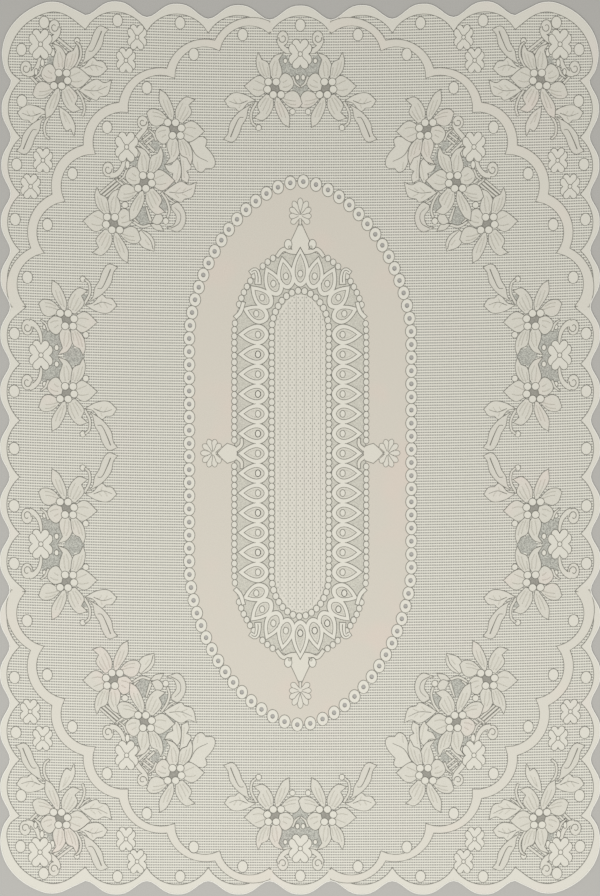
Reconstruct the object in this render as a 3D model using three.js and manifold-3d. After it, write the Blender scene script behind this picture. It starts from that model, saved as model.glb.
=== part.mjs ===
// Lace-net tablecloth lying flat: one knitted cloth with a scalloped border, a scalloped band
// across each corner, an oval medallion of eyelet rings round lace loops, and sprays of flowers
// and leaves. Millimetres, +Z up, X across the cloth, Y along it. The origin is at the middle
// of the underside, so the cloth lies on Z = 0. Places in the tables are for the quarter with
// X and Y above zero; the other three quarters mirror it.

import * as THREE from 'three';
import { mergeVertices } from 'three/addons/utils/BufferGeometryUtils.js';
import Module from 'manifold-3d';

const wasm = await Module();
wasm.setup();

// Overall size over the crests of the scallops
const WIDTH = 914;
const LENGTH = 1372;

// Levels above the table
const NET_TOP = 1.0;
const CLOTHWORK_TOP = 1.9; // borders, bands and the oval
const CROWN_TOP = 2.8; // middle of a petal, leaf or loop
const ROOT = 0.4; // raised work starts this high, inside the net
const CLEAR = 1.0; // how far a cutter runs past the faces

// Scallops of the border: valleys of the cut edge, cusps of the line where the net starts.
// In the steps -1 is a valley and 0 the crest.
const END_SCALLOPS = { count: 7, pitch: 94.2 };
const SIDE_SCALLOPS = { count: 13, pitch: 86.8 };
const END_EDGE = { valley: LENGTH / 2 - 21.5, rise: 21.5, steps: [-1, -0.75, -0.3, 0.3, 0.75] };
const SIDE_EDGE = { valley: WIDTH / 2 - 13.7, rise: 13.7, steps: [-1, -0.5, 0, 0.5] };
const END_NET = { valley: 643.5, rise: 27.3, steps: [-1, -0.55, 0, 0.55] };
const SIDE_NET = { valley: 429, rise: 18.5, steps: [-1, -0.45, 0.45] };
const CREST_FULLNESS = 1.3; // above 1 the crest is broader than the valley

// Corner lobe of the border, from the side's last valley round to the end's first one
const LOBE_EDGE = {
  steps: 9,
  corners: [
    { x: 453.5, y: 582 }, { x: 457, y: 610 }, { x: 448, y: 640 }, { x: 426, y: 665.5 },
    { x: 394, y: 682.5 }, { x: 371, y: 683.5 }, { x: 350, y: 674.5 },
  ],
};
const LOBE_NET = {
  steps: 8,
  corners: [
    { x: 443.5, y: 577 }, { x: 448, y: 597 }, { x: 438, y: 630 }, { x: 416, y: 655 },
    { x: 384, y: 669 }, { x: 360, y: 665 },
  ],
};

// Band across each corner: the cusps of its inner line, and of its outer line beside them
const CORNER_BAND = [
  { x: 47.2, y: 643.5, outX: 47.2, outY: 658 },
  { x: 124, y: 616.5, outX: 131, outY: 631.5 },
  { x: 193, y: 573.5, outX: 204.5, outY: 587.5 },
  { x: 264.5, y: 520, outX: 278, outY: 534 },
  { x: 315, y: 455, outX: 332.5, outY: 468 },
  { x: 361.5, y: 382, outX: 380, outY: 392 },
  { x: 393, y: 302, outX: 412, outY: 308.5 },
  { x: 422, y: 224, outX: 438, outY: 221 },
];
const BAND_INNER = { rise: 0.29, steps: [-1, -0.4, 0.4] }; // rise in parts of the chord
const BAND_OUTER = { rise: 0.2, steps: [-1, -0.4, 0.4] };

// Oval medallion: straight sides, and ends that follow a superellipse
const RING_LINE = { halfWidth: 170.5, straight: 176.5, end: 241, power: 1.72 };
const RING_LINE_STEPS = 24;
const RINGS = { count: 98, radius: 9.4, waist: 3 };
const EYELET = { x: 3.6, y: 4.2, sides: 4 };
const LACE_OUTER = { halfWidth: 103, straight: 184, end: 128, power: 2 };
const LACE_INNER = { halfWidth: 45, straight: 192, end: 58, power: 2 };
const LACE_STEPS = 6;

// Lace loops: rows along the sides, and a fan round each end, from round base to tip
const LOOP_WIDTH = 25;
const SIDE_LOOPS = { count: 13, pitch: 30.4, from: 48.5, to: 95 };
const FAN_LOOPS = [
  { x: 0, y: 256, tipX: 0, tipY: 312 },
  { x: 18, y: 252.5, tipX: 27, tipY: 303.5 },
  { x: 33, y: 242.5, tipX: 53, tipY: 285 },
  { x: 43.5, y: 226, tipX: 75.5, tipY: 256.5 },
  { x: 48, y: 206, tipX: 88, tipY: 222 },
];

// Palmettes at the ends and sides of the lace: a drop, and a fan of petals at its tip
const PALMETTES = [
  { x: 0, y: 311, tipX: 0, tipY: 358, width: 31, fanX: 0, fanY: 364 },
  { x: 101, y: 0, tipX: 127, tipY: 0, width: 24, fanX: 137, fanY: 0 },
];
const FAN = { radius: 17, petals: 6, waist: 0.5 };

// Dots, one in each scallop of net
const DOT = { x: 7.8, y: 9.5, sides: 5 };
const DOTS = [
  { x: 0, y: 656 }, { x: 88.5, y: 641 }, { x: 184.5, y: 657 }, { x: 280.5, y: 657.5 },
  { x: 393, y: 653 }, { x: 427.5, y: 611.5 }, { x: 426.5, y: 533 }, { x: 434, y: 436 },
  { x: 436, y: 351.5 }, { x: 417.5, y: 263.5 }, { x: 436.5, y: 176.5 }, { x: 436.5, y: 88 },
  { x: 436.5, y: 0 }, { x: 163.5, y: 610 }, { x: 235.5, y: 557.5 }, { x: 296.5, y: 496 },
  { x: 349.5, y: 424.5 }, { x: 387.5, y: 345.5 },
];

// Clovers of four lobes, drawn in between them
const CLOVER = { x: 18, y: 22.5, lobeHalf: 0.42, waist: 0.3 };
const CLOVERS = [
  { x: 398.5, y: 620, size: 1 }, { x: 267.5, y: 598, size: 0.82 }, { x: 250.5, y: 633.5, size: 0.82 },
  { x: 413, y: 403, size: 0.82 }, { x: 394.5, y: 443.5, size: 0.82 }, { x: 266.5, y: 467, size: 1 },
  { x: 0, y: 612, size: 1 }, { x: 397, y: 145, size: 1 },
];

// One flower, seen upright: outline of each petal between the clefts on either side of it
const PETALS = [
  [{ x: 30, y: -19.5 }, { x: 46.5, y: -4 }, { x: 25, y: 11.5 }],
  [{ x: 27, y: 23 }, { x: 30, y: 46 }, { x: 5, y: 37 }],
  [{ x: -2.5, y: 37 }, { x: -20, y: 60.5 }, { x: -22, y: 39 }],
  [{ x: -27, y: 33 }, { x: -43.5, y: 27 }, { x: -32, y: 9 }],
  [{ x: -32, y: -7 }, { x: -22, y: -24 }],
  [{ x: -14, y: -34 }, { x: -11.5, y: -53.5 }, { x: 5.5, y: -38 }],
  [{ x: 13, y: -46 }, { x: 26.5, y: -56 }, { x: 26.5, y: -31 }],
];
const CLEFTS = [
  { x: 18, y: -15 }, { x: 16, y: 13 }, { x: 1, y: 19 }, { x: -11, y: 18 },
  { x: -17, y: 4 }, { x: -8, y: -18 }, { x: 5, y: -20 },
];
const HEART = { long: 9, short: 5, tilt: -40 };
const PETAL_ROOT = 0.575; // where a petal starts, in parts of the way from the middle to its clefts
const FLOWERS = [
  { x: 368, y: 567, faceX: -1, faceY: -1 },
  { x: 287, y: 349.5, faceX: 1, faceY: -1 },
  { x: 239, y: 414, faceX: -1, faceY: -1 },
  { x: 193.5, y: 496, faceX: -1, faceY: 1 },
  { x: 39.5, y: 559.5, faceX: 1, faceY: -1 },
  { x: 358, y: 201, faceX: -1, faceY: 1 },
  { x: 358, y: 88.5, faceX: -1, faceY: -1 },
];

// Outlines of the sprays, from stem (along 0) to tip (along 1), across in parts of the width
const SPRAY_FORMS = {
  leaf: [
    { along: 0, across: 0 }, { along: 0.28, across: -0.4 }, { along: 0.66, across: -0.42 },
    { along: 1, across: 0.05 }, { along: 0.7, across: 0.34 }, { along: 0.4, across: 0.58 },
  ],
  pod: [
    { along: 0, across: -0.1 }, { along: 0.5, across: -0.5 }, { along: 0.9, across: -0.4 },
    { along: 1, across: 0.3 }, { along: 0.6, across: 0.25 }, { along: 0.28, across: 0.55 },
  ],
  curl: [
    { along: 0, across: -0.12 }, { along: 0.7, across: -0.5 }, { along: 1, across: -0.2 },
    { along: 0.9, across: 0.45 }, { along: 0.5, across: 0.4 },
  ],
  bud: [
    { along: 0, across: 0 }, { along: 0.4, across: -0.4 }, { along: 1, across: -0.35 },
    { along: 0.75, across: 0 }, { along: 0.8, across: 0.4 }, { along: 0.35, across: 0.45 },
  ],
};
const SPRAYS = [
  { form: 'leaf', x: 336, y: 552.5, tipX: 288.5, tipY: 566, width: 25, hand: 1 },
  { form: 'leaf', x: 338, y: 588, tipX: 287.5, tipY: 587, width: 25, hand: -1 },
  { form: 'pod', x: 326, y: 606, tipX: 296, tipY: 644, width: 18, hand: 1 },
  { form: 'bud', x: 367, y: 529, tipX: 347, tipY: 483, width: 22, hand: -1 },
  { form: 'leaf', x: 394.5, y: 514, tipX: 433.5, tipY: 513, width: 24, hand: -1 },
  { form: 'pod', x: 396.5, y: 506, tipX: 429.5, tipY: 453, width: 19, hand: -1 },
  { form: 'curl', x: 409, y: 592, tipX: 432, tipY: 573, width: 22, hand: -1 },
  { form: 'curl', x: 378, y: 630, tipX: 367, tipY: 661, width: 20, hand: -1 },
  { form: 'leaf', x: 246, y: 344, tipX: 225, tipY: 309, width: 20, hand: 1 },
  { form: 'pod', x: 191, y: 381, tipX: 184, tipY: 337, width: 24, hand: 1 },
  { form: 'leaf', x: 206, y: 396, tipX: 163.5, tipY: 406, width: 24, hand: -1 },
  { form: 'leaf', x: 183, y: 450, tipX: 180, tipY: 415, width: 30, hand: 1 },
  { form: 'leaf', x: 162, y: 475, tipX: 126, tipY: 440, width: 36, hand: 1 },
  { form: 'curl', x: 278, y: 442, tipX: 302, tipY: 424, width: 22, hand: -1 },
  { form: 'curl', x: 246, y: 490, tipX: 242, tipY: 516, width: 20, hand: -1 },
  { form: 'leaf', x: 67, y: 537.5, tipX: 116, tipY: 540.5, width: 25, hand: 1 },
  { form: 'pod', x: 80, y: 527, tipX: 116, tipY: 481, width: 21, hand: 1 },
  { form: 'curl', x: 20, y: 616, tipX: 29, tipY: 647, width: 20, hand: 1 },
  { form: 'leaf', x: 322.5, y: 227, tipX: 279, tipY: 217.5, width: 25, hand: 1 },
  { form: 'pod', x: 317, y: 233, tipX: 279, tipY: 282, width: 22, hand: 1 },
  { form: 'curl', x: 401, y: 170, tipX: 420, tipY: 196, width: 22, hand: 1 },
  { form: 'leaf', x: 322.5, y: 62.5, tipX: 279, tipY: 72, width: 25, hand: -1 },
  { form: 'pod', x: 317, y: 56.5, tipX: 279, tipY: 7.5, width: 22, hand: -1 },
  { form: 'curl', x: 401, y: 120, tipX: 420, tipY: 93.5, width: 22, hand: -1 },
];

// Lay of the cloth: its middle, and the middle of its far edge, lie a little towards the near
// end, and its side borders are stretched a little outwards below its middle
const LAY_SHIFT = 9.2;
const FAR_EDGE_SAG = { shift: 7.5, reach: 307 };
const SIDE_SPREAD = { share: 0.009, y: -200, reach: 886, power: 8 };

const QUARTERS = [[1, 1], [-1, 1], [-1, -1], [1, -1]];
const point = (x, y) => new THREE.Vector2(x, y);

// Turns a closed three.js geometry into a solid
function toSolid(geometry) {
  geometry.deleteAttribute('normal');
  geometry.deleteAttribute('uv');
  const merged = mergeVertices(geometry, 1e-4);
  return new wasm.Manifold(new wasm.Mesh({
    numProp: 3,
    vertProperties: Float32Array.from(merged.attributes.position.array),
    triVerts: Uint32Array.from(merged.index.array),
  }));
}

// Where a point of the flat design lies on the table
function lay({ x, y }) {
  const along = (2 * y / LENGTH) ** 4;
  const middle = LAY_SHIFT * (1 - along) * Math.max(0, 1 - (2 * x / WIDTH) ** 2) ** 0.75;
  const edge = FAR_EDGE_SAG.shift * along * Math.max(0, 1 - (x / FAR_EDGE_SAG.reach) ** 2);
  const spread = SIDE_SPREAD.share * (1 - ((y - SIDE_SPREAD.y) / SIDE_SPREAD.reach) ** 2);
  const outwards = 1 + spread * Math.abs(2 * x / WIDTH) ** SIDE_SPREAD.power;
  return point(x * outwards, y - middle - (y > 0 ? edge : 0));
}

// Upright plate of an outline between two heights
function plate(outline, bottom, top) {
  const shape = new THREE.Shape(outline.map(lay));
  const geometry = new THREE.ExtrudeGeometry(shape, { depth: top - bottom, bevelEnabled: false });
  geometry.translate(0, 0, bottom);
  return toSolid(geometry);
}

// Low faceted crown: it leaves the surface at the outline and rises to one peak in the middle.
// A closed cylinder with a corner for each point of the outline is reshaped to it.
function crown(outline, surface, top) {
  const laid = outline.map(lay);
  const corners = THREE.ShapeUtils.isClockWise(laid) ? laid.reverse() : laid;
  const middle = corners.reduce((sum, p) => sum.add(p), point(0, 0)).divideScalar(corners.length);
  const geometry = new THREE.CylinderGeometry(1, 1, 1, corners.length);
  geometry.rotateX(Math.PI / 2);
  geometry.rotateZ(Math.PI / 2);
  const places = geometry.attributes.position;
  for (let i = 0; i < places.count; i += 1) {
    const turn = Math.atan2(places.getY(i), places.getX(i)) / (2 * Math.PI);
    const onRim = Math.hypot(places.getX(i), places.getY(i)) > 0.5;
    const corner = Math.round(turn * corners.length + corners.length) % corners.length;
    const p = onRim ? corners[corner] : middle;
    const height = onRim ? surface : top;
    places.setXYZ(i, p.x, p.y, places.getZ(i) > 0 ? height : ROOT);
  }
  return toSolid(geometry);
}

// Ellipse as a short outline
function ellipse(x, y, radiusX, radiusY, sides) {
  return Array.from({ length: sides }, (_, i) => {
    const turn = Math.PI * (0.5 + 2 * i / sides);
    return point(x + radiusX * Math.cos(turn), y + radiusY * Math.sin(turn));
  });
}

// Makes one piece in every quarter, or only twice where it lies on an axis
function inQuarters(x, y, make) {
  const signs = QUARTERS.filter(([sx, sy]) => (x !== 0 || sx === 1) && (y !== 0 || sy === 1));
  return signs.map(([sx, sy]) => make(sx, sy));
}

// Mirrors an outline into a quarter
const mirrored = (outline, sx, sy) => outline.map((p) => point(p.x * sx, p.y * sy));

// Height of a scallop above its valleys: a soft wave for the cut edge
const wave = (s, rise) => rise * (1 + Math.cos(Math.PI * Math.abs(s) ** CREST_FULLNESS)) / 2;

// Height of a scallop above its cusps: a circular arc
function arcHeight(s, rise, pitch) {
  const radius = rise / 2 + pitch * pitch / (8 * rise);
  return Math.sqrt(radius * radius - (s * pitch / 2) ** 2) - (radius - rise);
}

// One side of a scalloped line, run along u with the outside towards +v
function scallops({ count, pitch }, { valley, rise, steps }, height) {
  return Array.from({ length: count }, (_, k) => steps.map((s) => (
    point((k - count / 2 + (s + 1) / 2) * pitch, valley + height(s, rise, pitch))
  ))).flat();
}

// Closed scalloped line round the whole cloth, against the clock from the right-hand side
function roundTheCloth(side, end, height, lobe) {
  const sidePoints = scallops(SIDE_SCALLOPS, side, height);
  const endPoints = scallops(END_SCALLOPS, end, height);
  const sideEnd = point(side.valley, SIDE_SCALLOPS.count * SIDE_SCALLOPS.pitch / 2);
  const endEnd = point(END_SCALLOPS.count * END_SCALLOPS.pitch / 2, end.valley);
  const curve = new THREE.SplineCurve([sideEnd, ...lobe.corners.map((p) => point(p.x, p.y)), endEnd]);
  const upwards = curve.getPoints(lobe.steps);
  const back = [...upwards].reverse();
  upwards.pop();
  back.pop();
  return [
    ...sidePoints.map((p) => point(p.y, p.x)), ...upwards,
    ...endPoints.map((p) => point(-p.x, p.y)), ...mirrored(back, -1, 1),
    ...sidePoints.map((p) => point(-p.y, -p.x)), ...mirrored(upwards, -1, -1),
    ...endPoints.map((p) => point(p.x, -p.y)), ...mirrored(back, 1, -1),
  ];
}

// Cloth with its scalloped edge and raised border, and the net sunk inside it
function ground() {
  const edge = roundTheCloth(SIDE_EDGE, END_EDGE, wave, LOBE_EDGE);
  const net = roundTheCloth(SIDE_NET, END_NET, arcHeight, LOBE_NET);
  return plate(edge, 0, CLOTHWORK_TOP).subtract(plate(net, NET_TOP, CLOTHWORK_TOP + CLEAR));
}

// Arc from one cusp to the next without its last point, bulging to the left of the way
function cuspArc(from, to, rise, steps) {
  const way = to.clone().sub(from);
  const chord = way.length();
  const out = point(-way.y, way.x).normalize();
  return steps.map((s) => (
    from.clone().lerp(to, (s + 1) / 2).addScaledVector(out, arcHeight(s, rise * chord, chord))
  ));
}

// Scalloped band across one corner, joined to the border at both ends
function cornerBand(sx, sy) {
  const inner = CORNER_BAND.map((row) => point(row.x, row.y));
  const outer = CORNER_BAND.map((row) => point(row.outX, row.outY));
  const line = (cusps, { rise, steps }) => [
    ...cusps.slice(1).flatMap((cusp, i) => cuspArc(cusps[i], cusp, rise, steps)),
    ...cusps.slice(-1),
  ];
  const outline = [...line(inner, BAND_INNER), ...line(outer, BAND_OUTER).reverse()];
  return plate(mirrored(outline, sx, sy), ROOT, CLOTHWORK_TOP);
}

// Points of an oval, against the clock
function oval({ halfWidth, straight, end, power }, endSteps) {
  const quarter = Array.from({ length: endSteps + 1 }, (_, i) => {
    const turn = Math.PI / 2 * i / endSteps;
    const x = halfWidth * Math.cos(turn) ** (2 / power);
    return point(x, straight + end * Math.sin(turn) ** (2 / power));
  });
  const upper = [...quarter, ...mirrored(quarter.slice(0, -1).reverse(), -1, 1)];
  return [...upper, ...mirrored(upper, -1, -1)];
}

// Evenly spaced places along a closed line
function spaced(outline, count) {
  const closed = [...outline, outline[0]];
  const reach = [0];
  closed.slice(1).forEach((p, i) => reach.push(reach[i] + p.distanceTo(closed[i])));
  const total = reach[reach.length - 1];
  return Array.from({ length: count }, (_, i) => {
    const along = total * (i + 0.5) / count;
    const leg = reach.findIndex((r) => r > along) - 1;
    const share = (along - reach[leg]) / (reach[leg + 1] - reach[leg]);
    return closed[leg].clone().lerp(closed[leg + 1], share);
  });
}

// Oval of clothwork edged with the rings, sunk to the net where the lace loops lie
function medallion(rings) {
  const edge = rings.flatMap((ring, i) => {
    const next = rings[(i + 1) % rings.length];
    const out = point(next.y - ring.y, ring.x - next.x).normalize();
    return [
      ring.clone().addScaledVector(out, RINGS.radius),
      ring.clone().lerp(next, 0.5).addScaledVector(out, RINGS.waist),
    ];
  });
  const lace = plate(oval(LACE_OUTER, LACE_STEPS), NET_TOP, CLOTHWORK_TOP + CLEAR);
  const panel = plate(oval(LACE_INNER, LACE_STEPS), ROOT, CLOTHWORK_TOP);
  return plate(edge, ROOT, CLOTHWORK_TOP).subtract(lace).add(panel);
}

// Outline of a form between its stem and its tip
function between(form, stem, tip, width, hand = 1) {
  const way = tip.clone().sub(stem);
  const across = point(-way.y, way.x).setLength(width * hand);
  return form.map((p) => (
    stem.clone().addScaledVector(way, p.along).addScaledVector(across, p.across)
  ));
}

// Lace loops round the inner panel
function laceLoops() {
  const loop = [
    { along: 0, across: 0.2 }, { along: 0, across: -0.2 }, { along: 0.38, across: -0.5 },
    { along: 1, across: 0 }, { along: 0.38, across: 0.5 },
  ];
  const one = (x, y, tipX, tipY) => (
    crown(between(loop, point(x, y), point(tipX, tipY), LOOP_WIDTH), NET_TOP, CROWN_TOP)
  );
  const { count, pitch, from, to } = SIDE_LOOPS;
  const rows = Array.from({ length: count }, (_, i) => (i - (count - 1) / 2) * pitch);
  return [
    ...rows.flatMap((y) => [one(from, y, to, y), one(-from, y, -to, y)]),
    ...FAN_LOOPS.flatMap(({ x, y, tipX, tipY }) => (
      inQuarters(x, y, (sx, sy) => one(x * sx, y * sy, tipX * sx, tipY * sy))
    )),
  ];
}

// Drop and fan at the ends and sides of the lace, standing on the clothwork
function palmettes() {
  const drop = [
    { along: 0, across: 0 }, { along: 0.3, across: -0.5 }, { along: 0.55, across: -0.35 },
    { along: 1, across: 0 }, { along: 0.55, across: 0.35 }, { along: 0.3, across: 0.5 },
  ];
  return PALMETTES.flatMap(({ x, y, tipX, tipY, width, fanX, fanY }) => (
    inQuarters(x, y, (sx, sy) => {
      const stem = point(x * sx, y * sy);
      const tip = point(tipX * sx, tipY * sy);
      const round = ellipse(0, 0, FAN.radius, FAN.radius, FAN.petals * 2);
      const fan = round.map((p, i) => (
        p.multiplyScalar(i % 2 === 0 ? 1 : FAN.waist).add(point(fanX * sx, fanY * sy))
      ));
      return [
        crown(between(drop, stem, tip, width), CLOTHWORK_TOP, CROWN_TOP),
        crown(fan, CLOTHWORK_TOP, CROWN_TOP),
      ];
    }).flat()
  ));
}

// Point of the upright flower, moved to where the flower lies in a quarter
const onFlower = (p, { x, y, faceX, faceY }, sx, sy) => (
  point((x + p.x * faceX) * sx, (y + p.y * faceY) * sy)
);

// Corners of the open lozenge in the middle of the upright flower
function heart() {
  const tilt = THREE.MathUtils.degToRad(HEART.tilt);
  const lozenge = [[1, 0], [0, 1], [-1, 0], [0, -1]];
  return lozenge.map(([u, v]) => (
    point(u * HEART.long, v * HEART.short).rotateAround(point(0, 0), tilt)
  ));
}

// Seven petals of one flower
function petals(row, sx, sy) {
  return PETALS.map((petal, i) => {
    const from = CLEFTS[i];
    const to = CLEFTS[(i + 1) % CLEFTS.length];
    const root = point(from.x, from.y).lerp(to, 0.5).multiplyScalar(PETAL_ROOT);
    const outline = [root, from, ...petal, to];
    return crown(outline.map((p) => onFlower(p, row, sx, sy)), NET_TOP, CROWN_TOP);
  });
}

// Dots, clovers and sprays on the net
function spots() {
  const dots = DOTS.flatMap(({ x, y }) => inQuarters(x, y, (sx, sy) => (
    crown(ellipse(x * sx, y * sy, DOT.x, DOT.y, DOT.sides), NET_TOP, CLOTHWORK_TOP)
  )));
  const clover = [0, 1, 2, 3].flatMap((lobe) => (
    [point(CLOVER.waist, -CLOVER.waist), point(1, -CLOVER.lobeHalf), point(1, CLOVER.lobeHalf)]
      .map((p) => p.rotateAround(point(0, 0), lobe * Math.PI / 2))
  ));
  const clovers = CLOVERS.flatMap(({ x, y, size }) => inQuarters(x, y, (sx, sy) => {
    const reach = point(CLOVER.x, CLOVER.y).multiplyScalar(size);
    return crown(clover.map((p) => p.clone().multiply(reach).add(point(x * sx, y * sy))), NET_TOP, CROWN_TOP);
  }));
  const sprays = SPRAYS.flatMap(({ form, x, y, tipX, tipY, width, hand }) => {
    const outline = between(SPRAY_FORMS[form], point(x, y), point(tipX, tipY), width, hand);
    return inQuarters(x, y, (sx, sy) => crown(mirrored(outline, sx, sy), NET_TOP, CROWN_TOP));
  });
  return [...dots, ...clovers, ...sprays];
}

// Everything that is cut through: the eyelets of the rings and the hearts of the flowers
function gaps(rings) {
  const eyelets = rings.map((ring) => ellipse(ring.x, ring.y, EYELET.x, EYELET.y, EYELET.sides));
  const hearts = FLOWERS.flatMap((row) => inQuarters(row.x, row.y, (sx, sy) => (
    heart().map((p) => onFlower(p, row, sx, sy))
  )));
  return [...eyelets, ...hearts].map((outline) => plate(outline, -CLEAR, CROWN_TOP + CLEAR));
}

// The whole cloth
function tablecloth() {
  const rings = spaced(oval(RING_LINE, RING_LINE_STEPS), RINGS.count);
  const bands = QUARTERS.map(([sx, sy]) => cornerBand(sx, sy));
  const flowers = FLOWERS.flatMap((row) => (
    inQuarters(row.x, row.y, (sx, sy) => petals(row, sx, sy)).flat()
  ));
  const raised = [bands, [medallion(rings)], laceLoops(), palmettes(), flowers, spots()];
  const whole = raised.reduce((cloth, pieces) => wasm.Manifold.union([cloth, ...pieces]), ground());
  const solid = whole.subtract(wasm.Manifold.union(gaps(rings)));
  const { vertProperties, triVerts } = solid.getMesh();
  const geometry = new THREE.BufferGeometry();
  geometry.setAttribute('position', new THREE.BufferAttribute(vertProperties, 3));
  geometry.setIndex(new THREE.BufferAttribute(triVerts, 1));
  geometry.computeVertexNormals();
  return geometry;
}

const cream = new THREE.MeshStandardMaterial({ color: 0xd6d0c3, roughness: 0.92, metalness: 0 });
const cloth = new THREE.Mesh(tablecloth(), cream);
cloth.name = 'tablecloth';

const model = new THREE.Group();
model.add(cloth);

export default model;
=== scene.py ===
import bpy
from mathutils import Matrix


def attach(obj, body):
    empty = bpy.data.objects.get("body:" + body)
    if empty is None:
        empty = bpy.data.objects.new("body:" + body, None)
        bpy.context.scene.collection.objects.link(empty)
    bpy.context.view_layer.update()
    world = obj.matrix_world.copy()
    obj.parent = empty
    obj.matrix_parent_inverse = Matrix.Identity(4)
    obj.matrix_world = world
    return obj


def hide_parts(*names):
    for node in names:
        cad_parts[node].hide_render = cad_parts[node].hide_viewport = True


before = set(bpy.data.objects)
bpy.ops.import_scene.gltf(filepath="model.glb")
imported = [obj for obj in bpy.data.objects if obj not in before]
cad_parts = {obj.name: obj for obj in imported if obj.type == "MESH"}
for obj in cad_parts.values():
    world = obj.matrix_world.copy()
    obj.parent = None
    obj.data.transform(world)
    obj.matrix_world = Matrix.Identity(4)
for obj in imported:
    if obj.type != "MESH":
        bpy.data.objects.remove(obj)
"""Finished look of a lace-net tablecloth that lies flat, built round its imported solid.

The pattern is drawn flat, in millimetres, with X across the cloth and Y along it. Tables
hold the quarter with X and Y above zero, and the other three quarters mirror it. Each
outlined area of denser cloth is cut clear of the areas drawn after it, the net's threads
are run between them, and the finished meshes are laid on the table by the same small
shifts as the solid.
"""
import logging
import math
from dataclasses import dataclass, field
from enum import Enum
from typing import Callable, Iterable, Sequence

import bmesh
import bpy
import numpy as np
from mathutils import Vector
from mathutils.geometry import delaunay_2d_cdt

LOG = logging.getLogger("tablecloth")
MM = 0.001
WIDTH = 914.0
LENGTH = 1372.0
PIXEL = 1.535  # millimetres of cloth to one pixel of the photograph

MITRE = 2.2  # most that the two normals at a sharp corner are lengthened by
TINY = 1e-6
DISH = 0.25  # how far the middle of a bead or a plain leaf is sunk

Point = Vector
Outline = list[Vector]
Span = tuple[float, float]
Run = tuple[float, float, float]  # start, end and place of a row
Faces = list[bmesh.types.BMFace]
QUARTERS = ((1, 1), (-1, 1), (-1, -1), (1, -1))


class Form(Enum):
    """Outline that is drawn from its stem to its tip, and reused at any size."""

    LOOP = "loop"
    FIELD = "field"
    PETAL = "petal"
    HEART = "heart"


Knot = tuple[float, ...]  # x, y and a 1 where the line turns sharply
Knots = tuple[Knot, ...]

# Knots of each form: along from stem to tip, and across in parts of the width
FORMS: dict[Form, Knots] = {
    Form.LOOP: (
        (0, 0), (0.14, -0.38), (0.38, -0.5), (0.7, -0.33), (1, 0, 1), (0.7, 0.33), (0.38, 0.5), (0.14, 0.38),
    ),
    Form.FIELD: (
        (0, 0), (0.16, -0.4), (0.42, -0.5), (0.72, -0.33), (1, 0, 1), (0.72, 0.33), (0.42, 0.5), (0.16, 0.4),
    ),
    Form.PETAL: (
        (0, -0.14, 1), (0.5, -0.36), (0.8, -0.5), (1, 0), (0.8, 0.5), (0.5, 0.36), (0, 0.14, 1),
    ),
    Form.HEART: (
        (0, 0, 1), (0.3, -0.22), (0.56, -0.47), (0.82, -0.52), (0.99, -0.34), (0.92, -0.13), (0.7, 0, 1),
        (0.92, 0.13), (0.99, 0.34), (0.82, 0.52), (0.56, 0.47), (0.3, 0.22),
    ),
}


def smooth(knots: Sequence[Knot], step: float, closed: bool = True) -> Outline:
    """Draws a smooth line through knots, with corners at the sharp ones.

    Args:
        knots: Places in millimetres, with a third value where the line turns sharply.
        step: Greatest distance between two points of the line.
        closed: Whether the line returns to its first knot.

    Returns:
        The points, without a repeated last one if the line is closed.
    """
    places = [Vector(knot[:2]) for knot in knots]
    sharp = [len(knot) > 2 for knot in knots]
    count = len(places)
    line: Outline = []
    for i in range(count if closed else count - 1):
        here, there = places[i], places[(i + 1) % count]
        before = places[(i - 1) % count] if closed or i > 0 else here
        after = places[(i + 2) % count] if closed or i + 2 < count else there
        chord = (there - here).length
        leave = (there - here) if sharp[i] else (there - before)
        arrive = (there - here) if sharp[(i + 1) % count] else (after - here)
        leave = leave.normalized() * chord
        arrive = arrive.normalized() * chord
        steps = max(2, math.ceil(chord / step))
        for k in range(steps):
            t = k / steps
            line.append(
                here * (2 * t**3 - 3 * t**2 + 1) + leave * (t**3 - 2 * t**2 + t)
                + there * (3 * t**2 - 2 * t**3) + arrive * (t**3 - t**2)
            )
    if not closed:
        line.append(places[-1])
    return line


def drawn(form: Form, stem: Point, tip: Point, width: float, step: float = 2.4) -> Outline:
    """Draws a form between its stem and its tip.

    Args:
        form: Which outline.
        stem: Where it starts, in millimetres.
        tip: Where it ends.
        width: Its full width.
        step: Greatest distance between two points.

    Returns:
        The closed outline.
    """
    way = tip - stem
    across = Vector((-way.y, way.x)).normalized() * width
    knots = [(*(stem + way * knot[0] + across * knot[1]), *knot[2:]) for knot in FORMS[form]]
    return smooth(knots, step)


def ellipse(middle: Point, radius_x: float, radius_y: float, sides: int = 14) -> Outline:
    """Gives an ellipse round a point."""
    turns = (math.tau * i / sides for i in range(sides))
    return [middle + Vector((radius_x * math.cos(t), radius_y * math.sin(t))) for t in turns]


def strip(line: Outline, width: float, end_width: float | None = None) -> Outline:
    """Gives a strip of even or tapering width along an open line.

    Args:
        line: Middle of the strip.
        width: Width at its start.
        end_width: Width at its end, or None for the same.

    Returns:
        The closed outline.
    """
    last = len(line) - 1
    end = width if end_width is None else end_width
    left, right = [], []
    for i, place in enumerate(line):
        way = line[min(i + 1, last)] - line[max(i - 1, 0)]
        across = Vector((-way.y, way.x)).normalized() * (width + (end - width) * i / last) / 2
        left.append(place + across)
        right.append(place - across)
    return left + right[::-1]


def ribbon(knots: Knots, width: float, end_width: float | None = None, step: float = 2.5) -> Outline:
    """Gives a strip along the smooth line through some knots."""
    return strip(smooth(knots, step, closed=False), width, end_width)


def mirrored(outline: Iterable[Vector], sx: int, sy: int) -> Outline:
    """Mirrors an outline into another quarter."""
    return [Vector((p.x * sx, p.y * sy)) for p in outline]


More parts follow.
